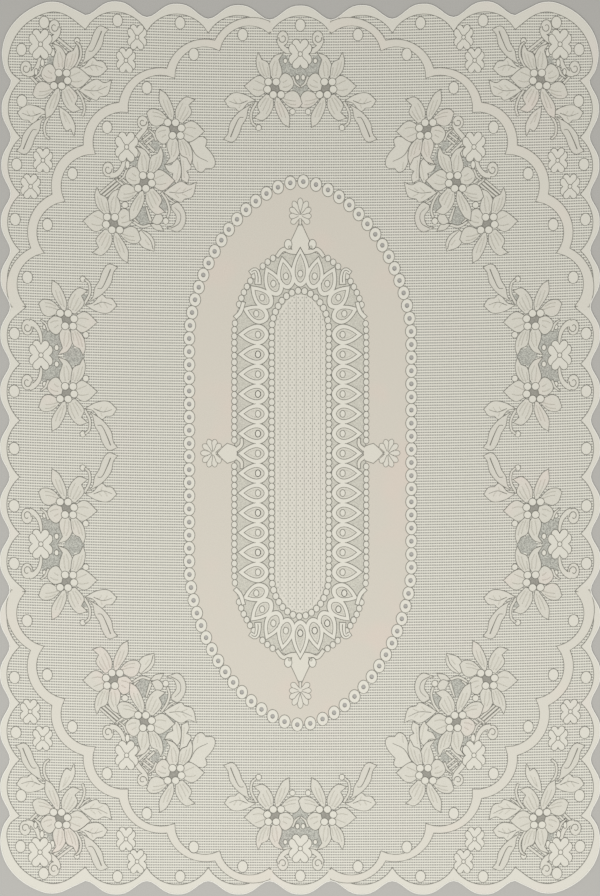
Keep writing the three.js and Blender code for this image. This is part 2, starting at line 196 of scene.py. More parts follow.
def area_of(outline: Outline) -> float:
    """Gives the signed area of an outline, above zero against the clock."""
    return sum(a.x * b.y - b.x * a.y for a, b in zip(outline, outline[1:] + outline[:1])) / 2


def grown(outline: Outline, margin: float) -> Outline:
    """Moves an outline outwards everywhere.

    Args:
        outline: A closed outline, run either way.
        margin: How far it moves, below zero for inwards.

    Returns:
        The moved outline, point for point.
    """
    turn = 1 if area_of(outline) > 0 else -1
    moved = []
    for before, here, after in zip(outline[-1:] + outline[:-1], outline, outline[1:] + outline[:1]):
        first, second = (here - before).normalized(), (after - here).normalized()
        out = Vector((first.y + second.y, -first.x - second.x)) * turn
        reach = min(MITRE, 2 / out.length_squared) if out.length > TINY else 0
        moved.append(here + out * margin * reach)
    return moved


@dataclass
class Shape:
    """One outlined area of denser cloth: all that its outlines cover, less its openings.

    Args:
        outlines: Outlines that are joined into one area.
        openings: Outlines that are left open right through it.
        veins: Narrow outlines that are sunk into its upper face.
        slits: Outlines that are left open down to its sole, whose dark colour is painted shade.
        dress: Which finish it takes.
        top: Height of its rim above the table.
        bevel: Width of its rounded edge.
        seam: Width of the dark line of painted shade round it, which its sole shows.
        lip: How far the sole reaches into the openings.
        dish: How far its middle is sunk below its rim.
    """

    outlines: list[Outline]
    openings: list[Outline] = field(default_factory=list)
    veins: list[Outline] = field(default_factory=list)
    slits: list[Outline] = field(default_factory=list)
    dress: str = "clothwork"
    top: float = 1.9
    bevel: float = 0.6
    seam: float = 0.9
    lip: float = 0.0
    dish: float = 0.0

    def box(self, margin: float = 0.0) -> tuple[float, float, float, float]:
        """Gives the box round it.

        Args:
            margin: How far the box stands off it.

        Returns:
            The lowest x and y, and the highest x and y.
        """
        xs = [p.x for line in self.outlines for p in line]
        ys = [p.y for line in self.outlines for p in line]
        return min(xs) - margin, min(ys) - margin, max(xs) + margin, max(ys) + margin


class Crossings:
    """Where straight rows cross a set of outlines."""

    def __init__(self, outlines: Sequence[Outline]) -> None:
        """Keeps the edges of the outlines as arrays.

        Args:
            outlines: The closed outlines.
        """
        starts, ends, owner = [], [], []
        for number, line in enumerate(outlines):
            points = np.array([(p.x, p.y) for p in line])
            starts.append(points)
            ends.append(np.roll(points, -1, axis=0))
            owner.append(np.full(len(points), number))
        self.start = np.concatenate(starts)
        self.end = np.concatenate(ends)
        self.owner = np.concatenate(owner)

    def spans(self, y: float) -> np.ndarray:
        """Gives the stretches of a row that lie inside an outline.

        Args:
            y: Where the row runs.

        Returns:
            The start and end of each stretch, one row each.
        """
        low, high = self.start[:, 1], self.end[:, 1]
        hit = (low <= y) != (high <= y)
        share = (y - low[hit]) / (high[hit] - low[hit])
        x = self.start[hit, 0] + share * (self.end[hit, 0] - self.start[hit, 0])
        order = np.lexsort((x, self.owner[hit]))
        return x[order].reshape(-1, 2)

    def covered(self, y: float, margin: float) -> np.ndarray:
        """Gives the stretches of a row that come close to the outlines' insides.

        Args:
            y: Where the row runs.
            margin: How close.

        Returns:
            The start and end of each stretch, one row each.
        """
        spans = []
        for share in (-0.95, -0.5, 0.0, 0.5, 0.95):
            more = margin * math.sqrt(1 - share * share)
            spans.append(self.spans(y + share * margin) + np.array([[-more, more]]))
        return np.concatenate(spans)


@dataclass
class Lay:
    """How the flat cloth lies on the table.

    Args:
        shift: How far its middle lies towards the near end.
        sag: The same for the middle of the far edge.
        sag_reach: How far from the middle the far edge sags.
        spread: How far its sides are stretched outwards, in parts of their distance.
        spread_y: Where along the cloth they are stretched most.
        spread_reach: How far from there they are stretched.
        spread_power: How fast the stretch fades towards the middle.
    """

    shift: float = 9.2
    sag: float = 7.5
    sag_reach: float = 307.0
    spread: float = 0.009
    spread_y: float = -200.0
    spread_reach: float = 886.0
    spread_power: int = 8

    def place(self, points: np.ndarray) -> np.ndarray:
        """Moves flat points to where they lie.

        Args:
            points: Places in the flat pattern, in millimetres, one row each.

        Returns:
            Places on the table, in metres.
        """
        x, y, z = points.T
        along = (2 * y / LENGTH) ** 4
        middle = self.shift * (1 - along) * np.maximum(0, 1 - (2 * x / WIDTH) ** 2) ** 0.75
        edge = self.sag * along * np.maximum(0, 1 - (x / self.sag_reach) ** 2) * (y > 0)
        spread = self.spread * (1 - ((y - self.spread_y) / self.spread_reach) ** 2)
        outwards = 1 + spread * np.abs(2 * x / WIDTH) ** self.spread_power
        return np.column_stack((x * outwards, y - middle - edge, z)) * MM


@dataclass
class Piece:
    """A mesh that is gathered from many closed bodies and then laid on the table.

    Args:
        name: Name of the finished object.
        points: Places of its corners, an array for each body.
        faces: Its faces, as numbers of corners.
        count: How many corners it has so far.
    """

    name: str
    points: list[np.ndarray] = field(default_factory=list)
    faces: list[list[int]] = field(default_factory=list)
    count: int = 0

    def add_bmesh(self, bm: bmesh.types.BMesh) -> None:
        """Takes over a finished body.

        Args:
            bm: The body, which is freed.
        """
        bm.verts.index_update()
        self.points.append(np.array([v.co for v in bm.verts], float).reshape(-1, 3))
        self.faces.extend([v.index + self.count for v in f.verts] for f in bm.faces)
        self.count += len(bm.verts)
        bm.free()

    def add_copies(self, bm: bmesh.types.BMesh, places: np.ndarray, sizes: np.ndarray) -> None:
        """Adds a copy of a body for each place.

        Args:
            bm: The body, which is freed.
            places: Where the copies go, one row each.
            sizes: What each copy is stretched by along X, Y and Z.
        """
        bm.verts.index_update()
        body = np.array([v.co for v in bm.verts], float)
        faces = [[v.index for v in f.verts] for f in bm.faces]
        bm.free()
        for place, size in zip(places, sizes):
            self.points.append(body * size + place)
            self.faces.extend([i + self.count for i in face] for face in faces)
            self.count += len(body)

    def finish(self, lay: Lay, material: bpy.types.Material) -> bpy.types.Object:
        """Lays the piece and makes it an object of the cloth.

        Args:
            lay: How the cloth lies.
            material: Its finish.

        Returns:
            The object, which rides on the cloth's body.
        """
        mesh = bpy.data.meshes.new(self.name)
        mesh.from_pydata(lay.place(np.concatenate(self.points)).tolist(), [], self.faces)
        mesh.validate()
        mesh.materials.append(material)
        piece = bpy.data.objects.new(self.name, mesh)
        bpy.context.scene.collection.objects.link(piece)
        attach(piece, "root")
        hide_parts("tablecloth")
        triangles = sum(len(face) - 2 for face in self.faces)
        LOG.info("%s: %d triangles", self.name, triangles)
        return piece


@dataclass
class Border:
    """Scalloped border, the bright rim along its cut edge, and the bands across the corners.

    Args:
        end_count: Scallops at an end.
        end_pitch: How far apart they are.
        side_count: Scallops along a side.
        side_pitch: How far apart they are.
        end_edge: Valleys of the cut edge at the ends, and the rise of its crests.
        side_edge: The same along the sides.
        end_net: Cusps of the line where the net starts at the ends, and its rise.
        side_net: The same along the sides.
        fullness: Above 1 the crests are broader than the valleys.
        rim: Width of the rim.
        lobe_edge: Knots of the cut edge round a corner.
        lobe_net: Knots of the net's line round a corner.
        band: Cusps of a band's inner line, and of its outer line beside them.
        pinch: How deep the border is pinched in at a band's end, where, and how far round it.
        pinch_beyond: The pinch moves only what lies further out than this.
        lobe_step: Greatest distance between two points round a corner.
        joints: Corners of the patches that join a band to the border.
        band_inner_rise: Rise of a band's inner arcs in parts of their chords.
        band_outer_rise: The same for its outer arcs.
    """

    end_count: int = 7
    end_pitch: float = 94.2
    side_count: int = 13
    side_pitch: float = 86.8
    end_edge: tuple[float, float] = (LENGTH / 2 - 21.5, 21.5)
    side_edge: tuple[float, float] = (WIDTH / 2 - 13.7, 13.7)
    end_net: tuple[float, float] = (643.5, 27.3)
    side_net: tuple[float, float] = (429.0, 18.5)
    fullness: float = 1.3
    rim: float = 1.5
    lobe_edge: tuple[tuple[float, float], ...] = (
        (453.5, 582), (457, 610), (448, 640), (426, 665.5), (394, 682.5), (371, 683.5), (350, 674.5),
    )
    lobe_net: tuple[tuple[float, float], ...] = (
        (443.5, 577), (448, 597), (438, 630), (416, 655), (384, 669), (360, 665),
    )
    band: tuple[tuple[float, float, float, float], ...] = (
        (47.2, 643.5, 47.2, 661.5), (124, 616.5, 131, 631.5), (193, 573.5, 204.5, 587.5),
        (264.5, 520, 278, 534), (315, 455, 332.5, 468), (361.5, 382, 380, 392),
        (393, 302, 412, 308.5), (420.5, 219.5, 440.5, 217.5),
    )
    pinch: tuple[float, float, float] = (8.0, 217.0, 16.0)
    pinch_beyond: float = 400.0
    lobe_step: float = 5.0
    joints: tuple[Knots, ...] = (
        ((43, 646), (51, 646), (51, 661), (43, 659)), ((424, 223), (438.5, 222), (439, 212), (425, 213)),
    )
    band_inner_rise: float = 0.29
    band_outer_rise: float = 0.2

    def wave(self, s: float, rise: float, _pitch: float) -> float:
        """Gives the height of the cut edge above its valleys, s running from -1 to 1."""
        return rise * (1 + math.cos(math.pi * abs(s) ** self.fullness)) / 2

    @staticmethod
    def arc(s: float, rise: float, pitch: float) -> float:
        """Gives the height of a circular arc above its cusps, s running from -1 to 1."""
        radius = rise / 2 + pitch * pitch / (8 * rise)
        return math.sqrt(radius * radius - (s * pitch / 2) ** 2) - (radius - rise)

    @staticmethod
    def scallops(
        count: int, pitch: float, line: tuple[float, float],
        height: Callable[[float, float, float], float], steps: int = 14,
    ) -> list[tuple[float, float]]:
        """Gives one side of a scalloped line.

        Args:
            count: How many scallops it has.
            pitch: How far apart their valleys are.
            line: Height of the valleys, and how far the crests rise above them.
            height: Height of the line in one scallop, from -1 to 1 across it.
            steps: Points in one scallop.

        Returns:
            Places along the side and outwards.
        """
        shares = [2 * k / steps - 1 for k in range(steps)]
        return [
            ((n - count / 2 + (s + 1) / 2) * pitch, line[0] + height(s, line[1], pitch))
            for n in range(count) for s in shares
        ]

    def round_the_cloth(
        self, side: tuple[float, float], end: tuple[float, float],
        height: Callable[[float, float, float], float], lobe: tuple[tuple[float, float], ...],
    ) -> Outline:
        """Gives a closed scalloped line round the whole cloth.

        Args:
            side: Valleys and rise of the scallops along the sides.
            end: The same at the ends.
            height: Height of the line in one scallop.
            lobe: Knots round one corner, from the side to the end.

        Returns:
            The outline, against the clock.
        """
        sides = self.scallops(self.side_count, self.side_pitch, side, height)
        ends = self.scallops(self.end_count, self.end_pitch, end, height)
        first = (side[0], self.side_count * self.side_pitch / 2)
        last = (self.end_count * self.end_pitch / 2, end[0])
        turn = smooth([(*first, 1), *lobe, last], self.lobe_step, closed=False)
        upwards, back = turn[:-1], turn[::-1][:-1]
        return [
            *(Vector((v, u)) for u, v in sides), *upwards,
            *(Vector((-u, v)) for u, v in ends), *mirrored(back, -1, 1),
            *(Vector((-v, -u)) for u, v in sides), *mirrored(upwards, -1, -1),
            *(Vector((u, -v)) for u, v in ends), *mirrored(back, 1, -1),
        ]

    def edge_line(self) -> Outline:
        """Gives the cut edge of the cloth."""
        return self.round_the_cloth(self.side_edge, self.end_edge, self.wave, self.lobe_edge)

    def net_line(self) -> Outline:
        """Gives the line inside the border where the net starts.

        Returns:
            The outline, pinched in at the ends of the bands.
        """
        line = self.round_the_cloth(self.side_net, self.end_net, self.arc, self.lobe_net)
        depth, at, reach = self.pinch
        for p in line:
            if abs(p.x) > self.pinch_beyond:
                p.x -= math.copysign(depth * math.exp(-((abs(p.y) - at) / reach) ** 2), p.x)
        return line

    def band_line(self, cusps: list[Vector], rise: float, steps: int = 12) -> Outline:
        """Gives a line of arcs from cusp to cusp.

        Args:
            cusps: The cusps, with the outside on the left of the way.
            rise: Rise of each arc in parts of its chord.
            steps: Points in one arc.

        Returns:
            The open line.
        """
        line: Outline = []
        for here, there in zip(cusps, cusps[1:]):
            way = there - here
            out = Vector((-way.y, way.x)).normalized()
            for k in range(steps):
                height = self.arc(2 * k / steps - 1, rise * way.length, way.length)
                line.append(here.lerp(there, k / steps) + out * height)
        return line + [cusps[-1]]

    def shapes(self) -> list[Shape]:
        """Gives the border and the four corner bands.

        Returns:
            The shapes, the lowest first.
        """
        edge = self.edge_line()
        inside = grown(edge, -self.rim)
        shapes = [Shape([inside], [self.net_line()], dress="border", top=1.6, lip=1.0)]
        inner = self.band_line([Vector((x, y)) for x, y, _, _ in self.band], self.band_inner_rise)
        outer = self.band_line([Vector((x, y)) for _, _, x, y in self.band], self.band_outer_rise)
        for sx, sy in QUARTERS:
            shapes.append(Shape([mirrored(inner + outer[::-1], sx, sy)], dress="band", top=1.65))
            for joint in self.joints:
                line = mirrored((Vector(knot) for knot in joint), sx, sy)
                shapes.append(Shape([line], dress="band", top=1.68, bevel=0.1, seam=0.0))
        return shapes

    def rim_shape(self) -> Shape:
        """Gives the bright rim along the cut edge."""
        edge = self.edge_line()
        return Shape([edge], [grown(edge, -self.rim)], dress="rim", top=1.9, bevel=0.45, seam=0.0)


@dataclass
class Medallion:
    """Oval of cloth edged with eyelet rings, round lace loops and a dotted panel.

    An oval is given by its half width, its straight half-length, the length of its end and
    the power of its superellipse. A pair of radii or pitches is across and along. A pair of
    loop sizes is for the rows along the sides and for the fans round the ends.
    """

    ring_line: tuple[float, float, float, float] = (170.5, 176.5, 241.0, 1.72)
    rings: int = 98
    ring_radius: tuple[float, float] = (8.3, 10.0)
    eyelet_radius: tuple[float, float] = (3.3, 3.6)
    outer_chain: tuple[float, float, float, float] = (101.2, 184.0, 129.0, 1.9)
    inner_chain: tuple[float, float, float, float] = (43.8, 190.0, 60.0, 1.9)
    bead: tuple[float, float] = (3.9, 4.6)
    inner_bead: tuple[float, float] = (4.3, 4.9)
    bead_pitch: float = 9.95
    bead_clear: float = 5.2
    bead_from: tuple[float, float] = (30.0, 17.0)
    lace_inset: float = 1.0
    loop_pitch: float = 30.4
    loops: int = 13
    loop_from: float = 48.5
    loop_to: float = 95.5
    fan: tuple[tuple[float, float, float, float], ...] = (
        (0, 256, 0, 315.5), (18, 252.5, 28.3, 302), (33, 242.5, 53, 286), (44.5, 225, 76, 257),
        (49, 207, 88.5, 223),
    )
    loop_width: tuple[float, float] = (31.0, 27.5)
    field_width: tuple[float, float] = (18.5, 16.5)
    field_ends: tuple[float, float] = (6.5, 8.5)
    field_under: float = 1.4
    field_edging: tuple[float, float] = (0.8, 3.7)
    field_inside: float = 4.3
    loop_bead_at: tuple[float, float] = (16.5, 20.0)
    loop_bead: tuple[float, float] = (3.6, 4.8)
    loop_bead_gap: tuple[float, float] = (4.2, 5.4)
    palmette: tuple[Span, ...] = ((0, 28), (10.7, 23), (15.7, 12.6), (16.6, 0.8), (13.8, -10.4))
    palmette_width: float = 7.8
    palmette_heart: float = 3.0
    stalk: tuple[float, float, float] = (0.965, 1.01, 3.0)
    end_palmette: float = 363.8
    side_palmette: float = 132.8
    side_tips: tuple[Span, ...] = ((20, 0), (16.6, 13), (8.5, 21), (-1.7, 21), (-10, 14.5))
    end_drop: Knots = (
        (0, 357, 1), (7, 341), (15, 324, 1), (9, 308), (0, 313, 1), (-9, 308), (-15, 324, 1), (-7, 341),
    )
    side_drop: Knots = (
        (127, 0, 1), (120, 8), (112, 15, 1), (98, 9), (97, 0, 1), (98, -9), (112, -15, 1), (120, -8),
    )
    drop_step: float = 2.5
    side_arm: Knots = ((90, 23), (90.5, 13), (99, 5))
    side_arm_width: tuple[float, float] = (3.5, 6.0)
    arm: Knots = ((4, 309), (15, 310), (26, 313), (36, 302))
    arm_width: tuple[float, float] = (7.0, 5.0)
    scroll: Knots = ((87, 232), (92, 217), (100, 208))
    scroll_width: tuple[float, float] = (5.0, 6.0)
    hook: Knots = ((65, 260), (65, 272), (69, 281), (77, 277))
    hook_width: tuple[float, float] = (9.0, 6.0)
    hook_slit: tuple[float, float] = (1.2, 0.9)
    eye: tuple[float, float, float, float] = (18.6, 321, 5.4, 7.2)
    pupil: tuple[float, float, float, float] = (-2.2, -4.4, 2.2, 2.6)
    panel_under: float = 6.5
    panel_inset: float = 5.6
    panel_hem: float = 2.0
    dot_pitch: tuple[float, float] = (6.2, 8.4)
    dot: tuple[float, float] = (0.95, 1.3)
    columns: int = 6
    column_width: float = 0.45
    nudge: float = 0.01

    @staticmethod
    def oval(line: tuple[float, float, float, float], steps: int = 40) -> Outline:
        """Gives a closed oval.

        Args:
            line: Its half width, straight half-length, end length and power.
            steps: Points in a quarter of its ends.

        Returns:
            The outline, against the clock.
        """
        half, straight, end, power = line
        quarter = []
        for i in range(steps + 1):
            turn = math.pi / 2 * i / steps
            share = math.cos(turn) ** (2 / power) if i < steps else 0.0
            quarter.append(Vector((half * share, straight + end * math.sin(turn) ** (2 / power))))
        upper = quarter + mirrored(quarter[:-1][::-1], -1, 1)
        return upper + mirrored(upper, -1, -1)

    @staticmethod
    def spaced(outline: Outline, count: int, start: float = 0.5) -> list[Vector]:
        """Gives evenly spaced places along a closed line.

        Args:
            outline: The line.
            count: How many places.
            start: Where the first one lies, in parts of their pitch.

        Returns:
            The places.
        """
        closed = outline + outline[:1]
        reach = [0.0]
        for a, b in zip(closed, closed[1:]):
            reach.append(reach[-1] + (b - a).length)
        places = []
        for i in range(count):
            along = reach[-1] * (i + start) / count
            leg = next(k for k, r in enumerate(reach) if r > along) - 1
            share = (along - reach[leg]) / (reach[leg + 1] - reach[leg])
            places.append(closed[leg].lerp(closed[leg + 1], share))
        return places

    def loop_places(self) -> list[tuple[Vector, Vector]]:
        """Places the loops.

        Returns:
            The round end and the tip of each loop, the side rows first.
        """
        places = []
        for i in range(self.loops):
            y = (i - (self.loops - 1) / 2) * self.loop_pitch
            places += [(Vector((s * self.loop_from, y)), Vector((s * self.loop_to, y))) for s in (1, -1)]
        for x, y, tip_x, tip_y in self.fan:
            for sx, sy in QUARTERS:
                if x or sx > 0:
                    places.append((Vector((x * sx, y * sy)), Vector((tip_x * sx, tip_y * sy))))
        return places

    def lace_loops(self) -> list[Shape]:
        """Gives the loops, each round a sunk field with a bead.

        Returns:
            The loops as one shape, and then the shapes inside each.
        """
        loops, fields, insides = [], [], []
        sunk = {"bevel": 0.2, "seam": 0.0, "dress": "field", "top": 1.4}
        for number, (stem, tip) in enumerate(self.loop_places()):
            kind = 0 if number < 2 * self.loops else 1
            way = (tip - stem).normalized()
            start, end = stem + way * self.field_ends[0], tip - way * self.field_ends[1]
            line = drawn(Form.FIELD, start, end, self.field_width[kind])
            middle = stem + way * self.loop_bead_at[kind]
            gap = ellipse(middle, *self.loop_bead_gap)
            outer, inner = (grown(line, -inset) for inset in self.field_edging)
            loops.append(drawn(Form.LOOP, stem, tip, self.loop_width[kind]))
            fields.append(line)
            insides += [
                Shape([grown(line, -self.field_under)], [gap], dress="mesh", top=1.15, bevel=0.1, seam=0.0),
                Shape([outer], [inner], **sunk),
                Shape([grown(line, -self.field_inside)], [gap], **sunk),
                Shape([ellipse(middle, *self.loop_bead)], dish=0.2, top=2.0),
            ]
        return [Shape(loops, slits=fields), *insides]

    def scroll_shapes(self) -> list[Shape]:
        """Gives the scrolls, hooks and eyes that break the outer bead chain.

        Returns:
            The shapes, quarter by quarter.
        """
        shapes = []
        scroll = ribbon(self.scroll, *self.scroll_width)
        line = smooth(self.hook, self.drop_step, closed=False)
        hook, slit = strip(line, *self.hook_width), strip(line[1:-1], *self.hook_slit)
        x, y, across, along = self.eye
        aside, back, narrow, short = self.pupil
        eye = ellipse(Vector((x, y)), across, along)
        pupil = ellipse(Vector((x + aside, y + back)), narrow, short, 8)
        for sx, sy in QUARTERS:
            shapes += [
                Shape([mirrored(scroll, sx, sy)]),
                Shape([mirrored(hook, sx, sy)], slits=[mirrored(slit, sx, sy)]),
                Shape([mirrored(eye, sx, sy)], slits=[mirrored(pupil, sx, sy)]),
                Shape([mirrored(grown(pupil, -0.4), sx, sy)], dress="mesh", top=1.2, bevel=0.1, seam=0.0),
            ]
        return shapes

    def beads(self) -> list[Shape]:
        """Gives the two bead chains.

        Returns:
            The beads, with none in the outer chain where the scrolls and drops are.
        """
        shapes = []
        taken = [p for line in (self.arm, self.scroll, self.hook) for p in smooth(line, 3, closed=False)]
        for chain, bead in ((self.outer_chain, self.bead), (self.inner_chain, self.inner_bead)):
            line = self.oval(chain)
            length = sum((b - a).length for a, b in zip(line, line[1:] + line[:1]))
            for place in self.spaced(line, round(length / self.bead_pitch)):
                x, y = abs(place.x), abs(place.y)
                free = all((Vector((x, y)) - t).length > self.bead_clear for t in taken)
                if chain is self.inner_chain or (free and x > self.bead_from[0] and y > self.bead_from[1]):
                    shapes.append(Shape([ellipse(place, *bead, 12)], dish=0.2))
        return shapes

    def drops(self) -> list[Shape]:
        """Gives the drops and palmettes at the four ends of the medallion.

        Returns:
            The shapes of each drop and its palmette, the lowest first.
        """
        shapes = []
        end_arm = ribbon(self.arm, *self.arm_width)
        side_arm = ribbon(self.side_arm, *self.side_arm_width)
        end_tips = [Vector((x * s, y)) for x, y in self.palmette for s in (1, -1) if x or s > 0]
        side_tips = [Vector((x, y * s)) for x, y in self.side_tips for s in (1, -1) if y or s > 0]
        low, high, stalk_width = self.stalk
        for drop, middle, tips, arm, over in (
            (self.end_drop, Vector((0, self.end_palmette)), end_tips, end_arm, (-1, 1)),
            (self.side_drop, Vector((self.side_palmette, 0)), side_tips, side_arm, (1, -1)),
        ):
            stalk = strip([middle * low, middle * high], stalk_width)
            lines = (smooth(drop, self.drop_step), arm, mirrored(arm, *over))
            for side in (1, -1):
                heart = ellipse(middle * side, self.palmette_heart, self.palmette_heart)
                joined = [[p * side for p in line] for line in lines]
                shapes.append(Shape(joined, dress="bright", top=2.0))
                shapes.append(Shape([[p * side for p in stalk]], dress="bright", bevel=0.4))
                for tip in tips:
                    petal = drawn(Form.PETAL, middle, middle + tip, self.palmette_width)
                    shapes.append(Shape([[p * side for p in petal]], dress="bright", bevel=0.4, seam=0.7))
                shapes.append(Shape([heart], dress="bright", top=2.0, bevel=0.4, seam=0.0))
        return shapes

    def ring_places(self) -> list[Vector]:
        """Gives the middles of the eyelet rings."""
        return self.spaced(self.oval(self.ring_line), self.rings)

    def eyelets(self) -> list[Outline]:
        """Gives the holes of the rings."""
        return [ellipse(place, *self.eyelet_radius, 12) for place in self.ring_places()]

    def shapes(self) -> list[Shape]:
        """Gives the oval, its rings, the bead chains, the loops and the palmettes.

        Returns:
            The shapes, the lowest first.
        """
        outer = self.oval(self.outer_chain)
        under_panel = grown(self.oval(self.inner_chain), -self.panel_under)
        shapes = [
            Shape([self.oval(self.ring_line)], [outer], dress="oval", top=1.5, seam=0.0),
            Shape([grown(outer, -self.lace_inset)], dress="mesh", top=1.0, bevel=0.3, seam=0.0),
            Shape([under_panel], dress="thin", top=1.1, bevel=0.1, seam=0.0),
            self.panel(), *self.drops(), *self.lace_loops(), *self.beads(), *self.scroll_shapes(),
        ]
        for place, eyelet in zip(self.ring_places(), self.eyelets()):
            shapes.append(Shape([ellipse(place, *self.ring_radius, 20)], [eyelet]))
        return shapes

    def panel(self) -> Shape:
        """Gives the middle panel.

        Returns:
            The panel, open at its dots, which lie in two sets, and sunk along its columns.
        """
        edge = grown(self.oval(self.inner_chain), -self.panel_inset)
        within = grown(edge, -self.panel_hem)
        inside = Crossings([within])
        pitch_x, pitch_y = self.dot_pitch
        dots, columns = [], []
        rows = int(self.inner_chain[1] + self.inner_chain[2]) // int(pitch_y / 2)
        most = int(self.inner_chain[0] / pitch_x) + 1
        for k in range(-rows, rows + 1):
            y = k * pitch_y / 2
            for low, high in inside.spans(y + self.nudge):
                for n in range(-most, most + 1):
                    x = (n + (0.5 if k % 2 else 0)) * pitch_x
                    if low < x < high:
                        dots.append(ellipse(Vector((x, y)), *self.dot, 8))
        upright = Crossings([[Vector((p.y, p.x)) for p in within]])
        for n in range(-self.columns // 2, self.columns // 2):
            x = (2 * n + 1) * pitch_x
            for low, high in upright.spans(x):
                columns.append(strip([Vector((x, low)), Vector((x, high))], self.column_width))
        return Shape([edge], dots, columns, dress="panel", top=1.5, bevel=0.25, seam=0.0)


Move = Callable[[Knot], Vector]


@dataclass(frozen=True)
class Area:
    """One petal or leaf: the knots of its outline, and the sunk and open lines drawn in it."""

    knots: Knots
    veins: tuple[Knots, ...] = ()
    dress: str = "leaf"
    slits: tuple[Knots, ...] = ()
    vein_width: float = 1.6
    slit_width: float = 1.1
    step: float = 2.2
    line_step: float = 4.0

    def shape(self, move: Move) -> Shape:
        """Gives the shape at its place.

        Args:
            move: Takes a place in the motif to its place in the cloth.

        Returns:
            The shape, dished where it has no veins.
        """
        outline = [move(p) for p in smooth(self.knots, self.step)]
        veins, slits = (
            [[move(p) for p in ribbon(line, width, width / 2, self.line_step)] for line in lines]
            for lines, width in ((self.veins, self.vein_width), (self.slits, self.slit_width))
        )
        dish = 0.0 if self.veins else DISH
        return Shape([outline], veins=veins, slits=slits, dress=self.dress, top=1.9, bevel=0.4, dish=dish)


@dataclass(frozen=True)
class Stem:
    """One stem, bar or tendril: its middle line, and its width at the start and the end."""

    line: Knots
    width: float
    end_width: float

    def shape(self, move: Move) -> Shape:
        """Gives the shape at its place."""
        outline = ribbon(self.line, self.width, self.end_width)
        return Shape([[move(p) for p in outline]], dress="leaf", top=1.8, bevel=0.5)


@dataclass(frozen=True)
class Bead:
    """One round or oval bead, or the dark heart of a flower."""

    x: float
    y: float
    across: float
    along: float
    dress: str = "clothwork"
    least_dished: float = 3.5

    def shape(self, move: Move) -> Shape:
        """Gives the shape at its place.

        Args:
            move: Takes a place in the motif to its place in the cloth.

        Returns:
            The shape, dished where it is a large bead.
        """
        outline = ellipse(Vector((self.x, self.y)), self.across, self.along, 16)
        heart = self.dress == "heart"
        dish = DISH if min(self.across, self.along) > self.least_dished and not heart else 0.0
        top = 1.15 if heart else 2.0
        return Shape([[move(p) for p in outline]], dress=self.dress, top=top, bevel=0.5, dish=dish)


@dataclass(frozen=True)
class Curl:
    """One scroll: an oval end with a spiral line in it, on an arm.

    The spiral starts at an angle in degrees, runs on by equal steps, and closes in by a
    share of its size, which is given in parts of the oval's radii.
    """

    x: float
    y: float
    arm: Knots
    width: float
    end_width: float
    hand: int = 1
    across: float = 8.0
    along: float = 10.8
    spiral_start: int = -10
    spiral_step: int = 36
    spiral_points: int = 10
    spiral_close: float = 0.62
    spiral_size: tuple[float, float] = (0.8, 0.72)
    spiral_width: tuple[float, float] = (1.2, 0.9)

    def shape(self, move: Move) -> Shape:
        """Gives the shape at its place.

        Args:
            move: Takes a place in the motif to its place in the cloth.

        Returns:
            The shape, open along its spiral.
        """
        end = ellipse(Vector((self.x, self.y)), self.across, self.along, 20)
        arm = ribbon(self.arm, self.width, self.end_width)
        spiral = []
        for i in range(self.spiral_points):
            t = math.radians(self.spiral_start + self.spiral_step * i)
            r = 1 - self.spiral_close * i / (self.spiral_points - 1)
            spiral.append(Vector((
                self.x - self.hand * self.across * r * math.cos(t) * self.spiral_size[0],
                self.y - self.along * r * math.sin(t) * self.spiral_size[1],
            )))
        line = strip(spiral, *self.spiral_width)
        outlines = [[move(p) for p in end], [move(p) for p in arm]]
        return Shape(outlines, slits=[[move(p) for p in line]], dress="leaf", top=1.9, bevel=0.4)


Part = Area | Stem | Bead | Curl

# Upright flower, x to the right and y up from its middle
FLOWER: tuple[Part, ...] = (
    Bead(0, 0.5, 10.5, 8.5, "heart"),
    Area(
        ((-2, 13, 1), (-1, 28), (-12, 52), (-22, 59, 1), (-22, 40), (-7, 15, 1)),
        (((-4, 19), (-7, 31), (-11, 43)), ((-8, 22), (-13, 32), (-17, 44))), "petal",
    ),
    Area(
        ((-8, 13, 1), (-22, 27), (-36, 29), (-42, 23, 1), (-36, 8), (-27, 4), (-15, 9, 1)),
        (((-14, 15), (-23, 18), (-32, 19)), ((-17, 20), (-25, 24), (-33, 25))), "petal",
    ),
    Area(
        ((3, 12, 1), (13, 9, 1), (26, 25), (22, 37, 1), (31, 45, 1), (17, 48), (3, 30)),
        (((5, 18), (8, 29), (13, 39)), ((9, 15), (14, 25), (18, 34)), ((13, 14), (19, 22), (22, 28))),
        "petal",
    ),
    Area(
        ((12, 5, 1), (28, 12), (46, -3, 1), (32, -15), (22, -19), (13, -12, 1)),
        (((14, 1), (24, 3), (33, 1)), ((14, -5), (23, -9), (30, -12))), "petal",
    ),
    Stem(((-39, -2), (-32, -8), (-27, -18)), 1.6, 4.5),
    Area(
        ((-8, 2, 1), (-20, 4), (-29, -8), (-17, -23), (-5, -12, 1)),
        (((-13, -2), (-20, -3), (-25, -6)), ((-13, -9), (-19, -13))), "petal",
    ),
    Area(
        ((2, -13, 1), (9, -30), (1, -48), (-13, -54, 1), (-6, -44, 1), (-11, -24), (-5, -12, 1)),
        (((3, -20), (3, -32), (-1, -42)), ((-2, -19), (-4, -30), (-4, -40))), "petal",
    ),
    Area(
        ((11, -12, 1), (24, -25), (28, -42), (25, -54, 1), (20, -44, 1), (10, -38), (6, -14, 1)),
        (((12, -18), (16, -28), (19, -39)), ((16, -19), (21, -29), (24, -41)), ((9, -20), (11, -32))),
        "petal",
    ),
    Bead(-10, 9.5, 5.4, 5.4), Bead(2, 9.5, 5.4, 5.4), Bead(11, 1.5, 5.4, 5.4),
    Bead(9.5, -10, 5.4, 5.4), Bead(-2.5, -10, 5.4, 5.4),
)

